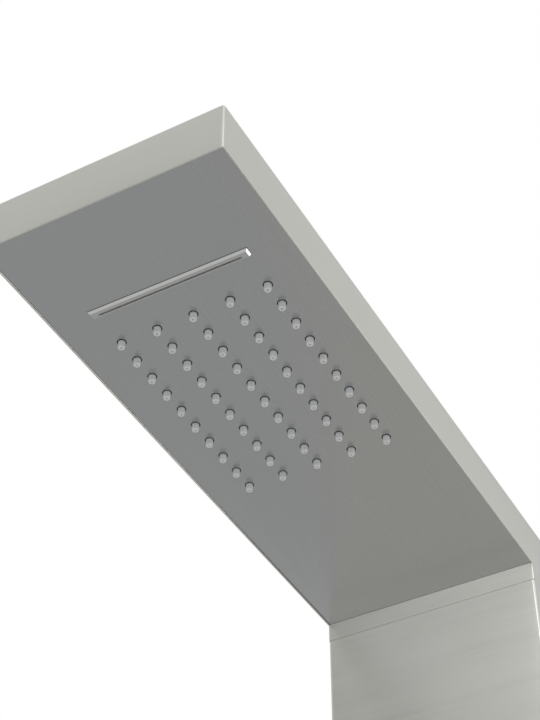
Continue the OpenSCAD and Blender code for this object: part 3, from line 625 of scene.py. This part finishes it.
# %% The tray
TRAY_X, TRAY_BACK, TRAY_BEND = 98.5 * MM, -64.0 * MM, 0.6 * MM
THROUGH, HOLE_PLAY = 10 * MM, 0.2 * MM
sheet_top = plate_low.z + SHEET
tray_low = Vector((-TRAY_X, head_low.y + head_high.x - TRAY_X, plate_low.z))
tray_high = Vector((TRAY_X, TRAY_BACK, plate_high.z))
tray = piece("underside_plate", folded_box(tray_low, tray_high, Vector((0, 0, 1)), TRAY_BEND, 4), UNDERSIDE_WITH_PAINTED_SHADE,
             stands_for=["face_plate"])
settle(thicken(tray, SHEET))
holes = bmesh.new()
for place in nozzle_places:
    add_rod(holes, place + Vector((0, 0, plate_low.z)), "Z", THROUGH, HOLE_R, sides=40)
half = Vector((LIP.x / 2 + HOLE_PLAY, LIP.y / 2 + HOLE_PLAY, THROUGH / 2))
lip_place = Vector((0, slot_y, plate_low.z))
add_box(holes, lip_place - half, lip_place + half)
cut(tray, holes)
round_edges(tray, SHEARED_EDGE)
print("tray with its holes:", len(tray.data.polygons), "faces")

# %% [markdown]
# ## The rain nozzles
# All fifty nozzles are moulded on one silicone mat behind the plate, and poke through its holes. Each
# is a small turned shape: a barrel that tapers a little, a rounded tip and a sunk spray hole. One
# profile is spun at every place, and the mat that joins them is a plain slab, which the plate hides.

# %% Silicone mat and nozzles
def nozzle_profile(root, tip):
    """The outline of a nozzle from its root down to its tip, and back up its spray hole."""
    radius, straight, taper, corner = 2.9 * MM, 1.6 * MM, 0.15 * MM, 1.1 * MM
    bore, depth = 0.7 * MM, 5 * MM
    rounded = arc((radius - corner - taper, tip + corner), corner, 0, -90, 6)
    mouth = [(bore + 0.45 * MM, tip), (bore + 0.3 * MM, tip + 0.15 * MM), (bore, tip + 0.7 * MM)]
    return [(radius, root), (radius, root - straight), *rounded, *mouth,
            (bore, tip + depth), (0, tip + depth)]


mat_bm = bmesh.new()
add_box(mat_bm, (mat_low.x, mat_low.y, sheet_top), mat_high)
for place in nozzle_places:
    spin_profile(mat_bm, nozzle_profile(sheet_top, mat_low.z), place, "Z", steps=28)
nozzles = piece("rain_nozzles", mat_bm, SILICONE, stands_for=["nozzle_mat"])
print("nozzles:", len(nozzles.data.polygons), "faces, tip at", round(mat_low.z / MM, 2), "mm")

# %% [markdown]
# ## The waterfall lip
# The water sheet leaves by a thin slit near the back edge of a hollow satin lip, which stands just
# proud of the plate. Its section takes the same steps all the way round: slit, lip, flange and throat.
# Rectangles at each step, bridged one to the next, make one clean ring with no boolean. The lip's front
# and end edges are chamfered by making its lowest rectangle smaller on those sides.

# %% Rings of bridged rectangles
def add_rectangle(bm, half_x, low_y, high_y, z):
    corners = [(-half_x, low_y, z), (half_x, low_y, z), (half_x, high_y, z), (-half_x, high_y, z)]
    verts = [bm.verts.new(c) for c in corners]
    return [bm.edges.new((verts[k], verts[(k + 1) % 4])) for k in range(4)]


def bridge_all(bm, loops):
    """Joins each loop of edges to the next, and the last to the first."""
    for first, second in zip(loops, loops[1:] + loops[:1]):
        bmesh.ops.bridge_loops(bm, edges=first + second)


# %% Waterfall lip
WALL, CHAMFER, BEHIND_SLIT, THROAT_INSET = 1 * MM, 1.6 * MM, 1.1 * MM, 4 * MM
lip_y = (slot_y - LIP.y / 2, slot_y + LIP.y / 2)
slit_y = (lip_y[1] - BEHIND_SLIT - SLIT.y, lip_y[1] - BEHIND_SLIT)
throat = (LIP.x / 2 - THROAT_INSET, lip_y[0] + WALL, lip_y[1] - WALL)
flange = (outlet_high.x, outlet_low.y, outlet_high.y)
outlet_bm = bmesh.new()
steps = [(SLIT.x / 2, *slit_y, outlet_low.z + WALL), (SLIT.x / 2, *slit_y, outlet_low.z),
         (LIP.x / 2 - CHAMFER, lip_y[0] + CHAMFER, lip_y[1], outlet_low.z),
         (LIP.x / 2, *lip_y, outlet_low.z + CHAMFER), (LIP.x / 2, *lip_y, sheet_top), (*flange, sheet_top),
         (*flange, outlet_high.z), (*throat, outlet_high.z), (*throat, outlet_low.z + WALL)]
bridge_all(outlet_bm, [add_rectangle(outlet_bm, *step) for step in steps])
outlet = piece("waterfall_lip", outlet_bm, SATIN_LIP, stands_for=["waterfall_outlet"])
round_edges(outlet, SHEARED_EDGE, angle=30)
print("lip:", [round(v / MM, 1) for v in LIP], "mm, slit:", [round(v / MM, 1) for v in SLIT], "mm")

# %% [markdown]
# ## The column
# The column is one sheet folded into a C, open to the wall. Its outline is a short line of points on
# the floor plan, which an extrude pulls up. The four folds are then bevelled, the skin gets its
# thickness, and the holes for the valves and the body jets are cut.

# %% Column casing
def middle_z(node):
    low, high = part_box(node)
    return (low.z + high.z) / 2


column_low, column_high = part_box("column_shell")
RETURN_EDGE = 12 * MM
JET_Z = [middle_z(f"jet_ball_{k}") for k in (1, 2, 3, 4)]
VALVE_Z = [middle_z(node) for node in ("temp_escutcheon", "diverter_escutcheon")]
JET_HOLE_R, VALVE_HOLE_R = 25 * MM, 20.5 * MM
BAND_Z = 107.5 * MM
side, front = column_high.x, column_low.y
edge_x = side - RETURN_EDGE
outline = [(-edge_x, 0), (-side, 0), (-side, front), (side, front), (side, 0), (edge_x, 0)]

column_bm = bmesh.new()
foot = [column_bm.verts.new((x, y, column_low.z)) for x, y in outline]
strip = [column_bm.edges.new(pair) for pair in zip(foot, foot[1:])]
raised = bmesh.ops.extrude_edge_only(column_bm, edges=strip)["geom"]
raised = [v for v in raised if isinstance(v, bmesh.types.BMVert)]
bmesh.ops.translate(column_bm, vec=(0, 0, column_high.z - column_low.z), verts=raised)
bend_edges(column_bm, [e for e in column_bm.edges if len(e.link_faces) == 2], BEND, segments=5)
column = piece("column_casing", column_bm, BRUSHED, stands_for=["column_shell"])
settle(thicken(column, SHEET))

openings = bmesh.new()
add_box(openings, (-side - MM, front - MM, BAND_Z), (side + MM, front + SHEET, column_high.z + MM))
for radius, heights in ((VALVE_HOLE_R, VALVE_Z), (JET_HOLE_R, JET_Z)):
    for z in heights:
        add_rod(openings, (0, front, z), "Y", THROUGH, radius, sides=96)
cut(column, openings)
round_edges(column, SHEARED_EDGE)
print("column:", [round(v / MM, 1) for v in column_high - column_low], "mm, faces", len(column.data.polygons))

# %% [markdown]
# ## The cover band
# Where the column meets the head, a separate strip of the same sheet covers the joint. It is as wide
# as the column, and its front corners are rounded as far as the sheet's thickness allows, so that they
# carry on the column's bends. A plain tab behind it slides inside the column.

# %% Cover band
band_low, band_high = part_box("junction_band")
SEAM, HEAD_GAP, END_BEND = 0.3 * MM, 0.1 * MM, 1.4 * MM
TAB_X, TAB_TOP = 90 * MM, band_high.z - 4 * MM
band_bm = bmesh.new()
band_top = plate_low.z - HEAD_GAP
strip_back = band_low.y + SHEET
add_box(band_bm, (-side, band_low.y, BAND_Z + SEAM), (side, strip_back, band_top))
ends = [e for e in band_bm.edges if all(v.co.y < strip_back - SHEET / 2 for v in e.verts)
        and abs(e.verts[0].co.z - e.verts[1].co.z) > MM]
bend_edges(band_bm, ends, END_BEND, segments=4)
add_box(band_bm, (-TAB_X, strip_back, band_low.z), (TAB_X, band_high.y, TAB_TOP))
band = piece("cover_band", band_bm, BRUSHED, stands_for=["junction_band"])
round_edges(band, SHEARED_EDGE)
print("band height:", round((band_top - BAND_Z) / MM, 1), "mm")

# %% [markdown]
# ## Studs inside the casing
# Fasteners can't show through a finished casing, so studs are welded to its inside. They are seen from
# the open back. Each is a short rod with a chamfered end. The lists give their places in millimetres:
# y and z on each side wall for the gussets, and z on each return edge for the hanger.

# %% Weld studs
STUD_R, STUD_L = 2.5 * MM, 12 * MM
HANGER_STUD_X = side - 8 * MM
GUSSET_STUDS = [(-45, 65), (-20, 65), (-45, 105), (-20, 105), (-30, 155), (-120, 155), (-210, 158)]
HANGER_STUDS = [46, 64]


def add_stud(bm, root, axis, length, radius):
    """A stud that starts at the root; a negative length points it the other way."""
    chamfer = 0.3 * radius
    shoulder = length - math.copysign(chamfer, length)
    profile = [(0, 0), (radius, 0), (radius, shoulder), (radius - chamfer, length), (0, length)]
    spin_profile(bm, profile, root, axis, steps=24)


studs_bm = bmesh.new()
for sign in (-1, 1):
    for y, z in GUSSET_STUDS:
        add_stud(studs_bm, Vector((sign * (side - SHEET), y * MM, z * MM)), "X", -sign * STUD_L, STUD_R)
    for z in HANGER_STUDS:
        add_stud(studs_bm, Vector((sign * HANGER_STUD_X, -SHEET, z * MM)), "Y", SHEET - STUD_L, STUD_R)
piece("weld_studs", studs_bm, ZINC)
print("studs:", 2 * (len(GUSSET_STUDS) + len(HANGER_STUDS)))

# %% [markdown]
# ## The controls
# A turned knob is a profile spun about its axis. The edges that a hand touches are rounded in the
# profile itself, and the grip flutes are cut round it with a ring of rods. The stepped cover behind
# each knob is spun the same way.

# %% Valve covers
TOUCH_R = 1.2 * MM


def rounded_step(radius, height, turn, size, steps=4):
    """A rounded corner of a turned profile: (radius, height) is the sharp corner, turn is its quarter."""
    centre = {"front": (radius - size, height + size), "back": (radius - size, height - size)}[turn]
    start, end = {"front": (-90, 0), "back": (0, 90)}[turn]
    return arc(centre, size, start, end, steps)


def make_cover(node, name):
    low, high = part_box(node)
    flange, bore, inner_r, fillet = 5 * MM, 25.4 * MM, 28 * MM, 0.4 * MM
    step_y = high.y - flange
    profile = [(bore, high.y), (bore, low.y), *rounded_step(inner_r, low.y, "front", TOUCH_R),
               (inner_r, step_y - fillet), (inner_r + fillet, step_y),
               *rounded_step(high.x, step_y, "front", TOUCH_R), (high.x, high.y), (bore, high.y)]
    bm = bmesh.new()
    spin_profile(bm, profile, (0, 0, middle_z(node)), "Y", steps=96)
    cover = piece(name, bm, POLISHED, stands_for=[node])
    round_edges(cover, TURNED_EDGE)


make_cover("temp_escutcheon", "temperature_cover")
make_cover("diverter_escutcheon", "diverter_cover")
print("valve covers at z", [round(z / MM) for z in VALVE_Z], "mm")

# %% Knobs
FLUTES, FLUTE_R, FLUTE_OUTSIDE = 24, 1.6 * MM, 0.7 * MM
FLUTE_MARGIN, FLUTE_SHIFT, FLUTE_END = 11 * MM, 0.5 * MM, 0.8 * MM
SPINDLE_R, KNOB_FACE = 6.05 * MM, 12 * MM


def make_knob(node, name, body, z, front_y, back_y):
    """A barrel with a dished face, bored from behind for its spindle, and the rods that flute it."""
    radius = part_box(node)[1].x
    dish, rim, slope = 0.5 * MM, 6 * MM, 1 * MM
    profile = [(0, front_y + dish), (radius - rim - slope, front_y + dish), (radius - rim, front_y),
               *rounded_step(radius, front_y, "front", 2 * MM),
               *rounded_step(radius, back_y, "back", 0.8 * MM),
               (SPINDLE_R, back_y), (SPINDLE_R, front_y + KNOB_FACE), (0, front_y + KNOB_FACE)]
    bm = bmesh.new()
    spin_profile(bm, profile, (0, 0, z), "Y", steps=192)
    knob = piece(name, bm, POLISHED, body=body, stands_for=[node])
    grips = bmesh.new()
    length = back_y - front_y - FLUTE_MARGIN
    reach = radius + FLUTE_OUTSIDE
    middle_y = (front_y + back_y) / 2 + FLUTE_SHIFT
    for k in range(FLUTES):
        angle = (k + 0.5) * 2 * math.pi / FLUTES
        at = (reach * math.sin(angle), middle_y, z + reach * math.cos(angle))
        verts = add_rod(grips, at, "Y", length, FLUTE_R, sides=16)
        ends = {e for v in verts for e in v.link_edges if abs(e.verts[0].co.y - e.verts[1].co.y) < 1e-7}
        bend_edges(grips, list(ends), FLUTE_END, segments=2)
    return knob, grips


knob_low, knob_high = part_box("temp_knob")
button_low, button_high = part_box("stop_button")
button_at = Vector((0, (button_low.y + button_high.y) / 2, VALVE_Z[0] + knob_high.x))
temp_knob, grips = make_knob("temp_knob", "temperature_knob", "temp_control", VALVE_Z[0],
                             knob_low.y, knob_high.y)
POCKET_DEPTH, BUTTON_PLAY = 12 * MM, 0.3 * MM
pocket = bmesh.new()
add_rod(pocket, button_at, "Z", 2 * POCKET_DEPTH, button_high.x + BUTTON_PLAY)
cut(cut(temp_knob, grips), pocket)
round_edges(temp_knob, TURNED_EDGE, angle=30)

diverter_knob, grips = make_knob("diverter_knob", "diverter_knob_barrel", "diverter_control", VALVE_Z[1],
                                 knob_low.y, knob_high.y)
cut(diverter_knob, grips)
round_edges(diverter_knob, TURNED_EDGE, angle=30)
print("knobs:", len(temp_knob.data.polygons), "faces each")

# %% [markdown]
# The diverter's knob also carries a grip bar across its face, which shows where it points. A box is too
# blunt for a thing that fingers hold, so all edges that touch its front face are bevelled until it is
# round.

# %% Grip bar
bar_bm = bmesh.new()
bar_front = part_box("diverter_knob")[0].y
BAR_X, BAR_Z, BAR_SUNK, BAR_ROUND = 4 * MM, 23 * MM, 1 * MM, 2.6 * MM
add_box(bar_bm, (-BAR_X, bar_front, VALVE_Z[1] - BAR_Z), (BAR_X, knob_low.y + BAR_SUNK, VALVE_Z[1] + BAR_Z))
front_edges = [e for e in bar_bm.edges if any(v.co.y < bar_front + 1e-6 for v in e.verts)]
bend_edges(bar_bm, front_edges, BAR_ROUND, segments=6)
piece("diverter_grip_bar", bar_bm, POLISHED, body="diverter_control")

# %% [markdown]
# The stop button keeps the temperature knob from turning past warm. It is a small round plunger with a
# rounded rim, and its top is dished for the finger.

# %% Stop button
button_bm = bmesh.new()
button_r, BUTTON_ROUND, BUTTON_DISH = button_high.x, 0.8 * MM, 0.4 * MM
spin_profile(button_bm, [(0, button_low.z), (button_r, button_low.z),
                         *rounded_step(button_r, button_high.z, "back", BUTTON_ROUND),
                         (button_r * 0.6, button_high.z), (0, button_high.z - BUTTON_DISH)],
             (0, button_at.y, 0), "Z", steps=48)
piece("temperature_stop_button", button_bm, RED_PLASTIC, body="override_button", stands_for=["stop_button"])
print("button:", round(2 * button_r / MM, 1), "mm across")

# %% [markdown]
# ## The body jets
# Each jet is a bright ball held by a trim ring. The ring is thin and rounded, and its inside follows
# the ball. The ball is a sphere with a flat face and nine spray holes, and hinge pins at its sides.

# %% Jet trims
trim_low, trim_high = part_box("jet_trims")
BALL_R, BALL_Y = 19 * MM, front + 3 * MM
BALL_PLAY, TRIM_ROUND = 0.4 * MM, 2.2 * MM
seat = BALL_R + BALL_PLAY
mouth = [math.degrees(math.asin((y - BALL_Y) / seat)) for y in (trim_low.y, trim_high.y)]
inside = arc((0, BALL_Y), seat, mouth[1], mouth[0], 8)
trim_profile = [*inside, *rounded_step(trim_high.x, trim_low.y, "front", TRIM_ROUND, 6),
                (trim_high.x, trim_high.y), inside[0]]
trim_bm = bmesh.new()
for z in JET_Z:
    spin_profile(trim_bm, trim_profile, (0, 0, z), "Y", steps=96)
trims = piece("jet_trim_rings", trim_bm, POLISHED, stands_for=["jet_trims"])
round_edges(trims, TURNED_EDGE)

# %% [markdown]
# The spray holes are cut with spun cutters that flare at the face, so each hole gets a countersunk
# mouth. Nine of them stand well apart, so one boolean takes them all.

# %% Profiles of the ball, its spray holes and its pins
face_y = BALL_Y - 12 * MM
NECK_R, NECK_DEPTH, RIM_STEP, RIM_DROP = 9 * MM, 4 * MM, 0.3 * MM, 0.2 * MM
SPRAY_R, SPRAY_RING_R, SPRAY_DEPTH = 0.9 * MM, 6 * MM, 5 * MM
FLARE_R, FLARE_START, FLARE_END = SPRAY_R + 0.9 * MM, face_y - 0.5 * MM, face_y + 0.4 * MM
PIN_R, PIN_ROOT, PIN_CHAMFER = 2 * MM, 17.5 * MM, 0.4 * MM
pin_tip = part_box("jet_ball_1")[1].x

rim = math.degrees(math.asin((face_y - BALL_Y) / BALL_R))
back = math.degrees(math.acos(NECK_R / BALL_R))
shell = arc((0, BALL_Y), BALL_R, rim, back, 24)
ball_profile = [(0, face_y), (shell[0][0] - RIM_STEP, face_y), (shell[0][0], face_y + RIM_DROP),
                *shell[1:], (NECK_R, face_y + NECK_DEPTH), (0, face_y + NECK_DEPTH)]
spray_profile = [(0, FLARE_START), (FLARE_R, FLARE_START), (SPRAY_R, FLARE_END),
                 (SPRAY_R, face_y + SPRAY_DEPTH), (0, face_y + SPRAY_DEPTH)]
spots = [(0, 0)] + [(SPRAY_RING_R * math.sin(k * math.pi / 4), SPRAY_RING_R * math.cos(k * math.pi / 4))
                    for k in range(8)]
pin_profile = [(0, PIN_ROOT), (PIN_R, PIN_ROOT), (PIN_R, pin_tip - PIN_CHAMFER),
               (PIN_R - PIN_CHAMFER, pin_tip), (0, pin_tip)]

# %% Jet balls
for number, z in enumerate(JET_Z, start=1):
    bm = bmesh.new()
    spin_profile(bm, ball_profile, (0, 0, z), "Y", steps=96)
    ball = piece(f"spray_ball_{number}", bm, POLISHED, body=f"ball_{number}",
                 stands_for=[f"jet_ball_{number}"])
    holes = bmesh.new()
    for x, up in spots:
        spin_profile(holes, spray_profile, (x, 0, z + up), "Y", steps=24)
    cut(ball, holes, angle=20)
    pins = bmesh.new()
    for sign in (-1, 1):
        spin_profile(pins, [(r, sign * h) for r, h in pin_profile], (0, BALL_Y, z), "X", steps=24)
    piece(f"spray_ball_pins_{number}", pins, POLISHED, body=f"ball_{number}")
print("jets at z", [round(z / MM) for z in JET_Z], "mm")

# %% [markdown]
# ## The hoses
# Braided hoses run inside the column: two long ones up to the head, a short one to the hand shower's
# outlet, and links between the jets. Each is a round section swept along its route, made as a row of
# rings with neighbours bridged together. The sweep also knows how far round and how far along each
# point is, so it writes the UV map that the braid reads.

# %% Swept hoses
def sweep_tube(bm, path, radius, sides=24):
    """Bridges a row of rings along a path, and maps each face: X once round, Y in metres along."""
    sheet_uv = bm.loops.layers.uv.verify()
    place, rings, along = {}, [], 0.0
    for k, point in enumerate(path):
        ahead = (path[min(k + 1, len(path) - 1)] - path[max(k - 1, 0)]).normalized()
        along += (point - path[k - 1]).length if k else 0.0
        across = Vector((1, 0, 0))
        facing = Matrix((across, ahead.cross(across), ahead)).transposed().to_4x4()
        ring = bmesh.ops.create_circle(bm, segments=sides, radius=radius,
                                       matrix=Matrix.Translation(point) @ facing)["verts"]
        place.update({v: (side_k / sides, along) for side_k, v in enumerate(ring)})
        rings.append([bm.edges.get((ring[s], ring[(s + 1) % sides])) for s in range(sides)])
    for first, second in zip(rings, rings[1:]):
        for face in bmesh.ops.bridge_loops(bm, edges=first + second)["faces"]:
            wraps = any(place[v][0] > 0.6 for v in face.verts)
            for loop in face.loops:
                u, v = place[loop.vert]
                loop[sheet_uv].uv = (u + 1 if wraps and u < 0.3 else u, v)


def quarter_bend(start, corner, end, radius, steps=14):
    """Points from start to end by way of a corner that is bent to the radius."""
    before, after = (start - corner).normalized(), (end - corner).normalized()
    centre = corner + (before + after) * radius
    turn = [centre - before * radius * math.sin(a) - after * radius * math.cos(a)
            for a in [k * math.pi / 2 / steps for k in range(steps + 1)]]
    return [start, *turn, end]


HOSE_BEND = 45 * MM
for node, name in (("rain_hose", "rain_hose_braid"), ("waterfall_hose", "waterfall_hose_braid")):
    low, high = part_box(node)
    x, radius = (low.x + high.x) / 2, (high.x - low.x) / 2
    riser_y, top_z = high.y - radius, high.z - radius
    route = [Vector((x, riser_y, low.z)), Vector((x, riser_y, top_z)), Vector((x, low.y, top_z))]
    hose_bm = bmesh.new()
    sweep_tube(hose_bm, quarter_bend(*route, HOSE_BEND), radius)
    piece(name, hose_bm, BRAID, stands_for=[node])

hand_low, hand_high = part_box("hand_shower_hose")
middle, radius = (hand_low + hand_high) / 2, (hand_high.x - hand_low.x) / 2
hose_bm = bmesh.new()
sweep_tube(hose_bm, [Vector((middle.x, middle.y, z)) for z in (hand_low.z, hand_high.z)], radius)
piece("hand_shower_hose_braid", hose_bm, BRAID, stands_for=["hand_shower_hose"])

feed_low, feed_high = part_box("jet_feed_hoses")
feed_y = (feed_low.y + feed_high.y) / 2
PORT = 36 * MM
link_feet = [feed_low.z] + [z + PORT for z in JET_Z[:0:-1]]
link_tops = [z - PORT for z in JET_Z[::-1]]
hose_bm = bmesh.new()
for ends in zip(link_feet, link_tops):
    sweep_tube(hose_bm, [Vector((0, feed_y, z)) for z in ends], radius)
piece("jet_feed_hoses_braid", hose_bm, BRAID, stands_for=["jet_feed_hoses"])
print("hoses:", round(2 * radius / MM, 1), "mm thick")

# %% [markdown]
# ## The parts that keep their engineering shape
# Brackets, valve bodies, nuts, cartridges and screws are already right, so they stay as they are and
# get their finishes. Their cut edges would look razor sharp, so a Weld joins their loose triangles and a
# small Bevel takes the edge off.

# %% Finishes for the engineering nodes
KEPT = {
    BRUSHED: ["foot_cap"],
    POLISHED: ["transfer_pipe", "hand_outlet"],
    RUBBER: ["waterfall_gasket", "jet_seals"],
    ZINC: ["rain_chamber", "waterfall_chamber", "chamber_nuts", "plate_clips", "gusset_left",
           "gusset_right", "foot_cap_screws", "hanger", "bracket_nuts", "wall_plate_upper",
           "wall_plate_lower", "lock_screws"],
    BRASS: ["rain_elbow", "waterfall_elbow", "mixer_body", "hot_inlet_union", "cold_inlet_union",
            "cartridge_nuts", "lock_rings", "diverter_body", "hose_nuts", "outlet_locknut", "temp_spindle",
            "diverter_spindle"],
    WHITE_PLASTIC: ["thermostatic_cartridge", "diverter_cartridge", "jet_housings", "jet_nuts",
                    "jet_swivel_1", "jet_swivel_2", "jet_swivel_3", "jet_swivel_4"],
    CERAMIC: ["regulator_piston", "diverter_disc"],
}
for material, names in KEPT.items():
    for name in names:
        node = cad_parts[name]
        node.data.materials.clear()
        node.data.materials.append(material)
        weld = node.modifiers.new("joined triangles", "WELD")
        weld.merge_threshold = 0.001 * MM
        round_edges(node, TURNED_EDGE)
print("kept nodes:", sum(len(names) for names in KEPT.values()))

# %% [markdown]
# ## Light
# Metal shows what is around it, so the room matters as much as the lamps. The camera sees plain white
# behind the object, but the metal sees a room: an even pale tone above, a bright stretch low in
# front, and a darker one low behind. A black flag hangs at the front left of the studio, for a dark
# accent on the column. The world shader mixes these by direction, with soft borders. Large
# soft panels add the brighter edges.

# %% Room tone
world = bpy.data.worlds.new("studio")
bpy.context.scene.world = world
world.use_nodes = True
sky = world.node_tree
sky.nodes.clear()
direction = add(sky, "ShaderNodeSeparateXYZ", Vector=add(sky, "ShaderNodeTexCoord").outputs["Generated"])
low_down = spread(sky, direction.outputs["Z"], 0.05, -0.45)
in_front = spread(sky, direction.outputs["Y"], 0.25, -0.45)
ABOVE, LOW_BEHIND, LOW_FRONT, FLAG = 0.70, 0.46, 0.72, 0.12
low_tone = spread(sky, in_front, 0.0, 1.0, LOW_BEHIND, LOW_FRONT)
added = maths(sky, "MULTIPLY", low_down, maths(sky, "SUBTRACT", low_tone, ABOVE))
near_flag = add(sky, "ShaderNodeVectorMath", {"operation": "DOT_PRODUCT"})
sky.links.new(sky.nodes["Texture Coordinate"].outputs["Generated"], near_flag.inputs[0])
near_flag.inputs[1].default_value = Vector((-0.40, -0.82, 0.42)).normalized()
flag = spread(sky, near_flag.outputs["Value"], 0.945, 0.985, 0.0, ABOVE - FLAG)
tone = maths(sky, "SUBTRACT", maths(sky, "ADD", added, ABOVE), flag)
room = add(sky, "ShaderNodeBackground", Color=(0.985, 1.0, 0.985, 1), Strength=tone)
paper = add(sky, "ShaderNodeBackground", Color=(1, 1, 1, 1), Strength=1.0)
seen = add(sky, "ShaderNodeLightPath").outputs["Is Camera Ray"]
both = add(sky, "ShaderNodeMixShader", Fac=seen)
sky.links.new(room.outputs[0], both.inputs[1])
sky.links.new(paper.outputs[0], both.inputs[2])
sky.links.new(both.outputs[0], add(sky, "ShaderNodeOutputWorld").inputs["Surface"])


# %% Soft panels
PANEL_DISTANCE = 3.0


def add_panel(name, direction, size, power):
    """A square lamp that looks at the head from a direction."""
    lamp = bpy.data.lights.new(name, "AREA")
    lamp.shape = "SQUARE"
    lamp.size = size
    lamp.energy = power
    panel = bpy.data.objects.new(name, lamp)
    bpy.context.scene.collection.objects.link(panel)
    towards = Vector(direction).normalized()
    panel.location = AIM + towards * PANEL_DISTANCE
    panel.rotation_mode = "QUATERNION"
    panel.rotation_quaternion = towards.to_track_quat("Z", "Y")
    panel.visible_camera = False
    return panel


add_panel("right panel", (0.64, -0.355, 0.68), size=1.6, power=5)
add_panel("low right panel", (0.68, 0.64, -0.36), size=1.2, power=9)

# The head overhangs the column and would keep every high lamp off its front, so one lamp is linked to
# the column alone and the head doesn't block it.
column_lamp = add_panel("column panel", (0.02, -0.70, 0.72), size=2.0, power=27)
column_only = bpy.data.collections.new("lit by the column panel")
for lit in (column, band):
    column_only.objects.link(lit)
column_lamp.light_linking.receiver_collection = column_only
column_lamp.light_linking.blocker_collection = column_only

# %% [markdown]
# ## Floor
# The shower hangs on a wall, but a plain pale floor under it gives every view the same ground. The
# main view looks up from below it, so the floor is made to be seen from above only: its back side is
# transparent. The metal doesn't mirror it either, because the room's low tones already do that.

# %% Floor
FLOOR_HALF, FLOOR_Y = 6, -0.3
floor_z = cad_low.z - 20 * MM
floor_bm = bmesh.new()
bmesh.ops.create_grid(floor_bm, x_segments=1, y_segments=1, size=FLOOR_HALF,
                      matrix=Matrix.Translation((0, FLOOR_Y, floor_z)))
floor_mesh = bpy.data.meshes.new("floor")
floor_bm.to_mesh(floor_mesh)
floor_bm.free()
floor = bpy.data.objects.new("floor", floor_mesh)
bpy.context.scene.collection.objects.link(floor)
ground, tree, shader = open_material("pale floor", Roughness=0.9)
shader.inputs["Base Color"].default_value = (0.82, 0.82, 0.82, 1)
below = add(tree, "ShaderNodeNewGeometry").outputs["Backfacing"]
clear = add(tree, "ShaderNodeBsdfTransparent")
one_sided = add(tree, "ShaderNodeMixShader", Fac=below)
tree.links.new(shader.outputs[0], one_sided.inputs[1])
tree.links.new(clear.outputs[0], one_sided.inputs[2])
tree.links.new(one_sided.outputs[0], tree.nodes["Material Output"].inputs["Surface"])
floor_mesh.materials.append(ground)
floor.visible_glossy = False
floor.visible_diffuse = False
print("floor at z", round(floor_z, 3))
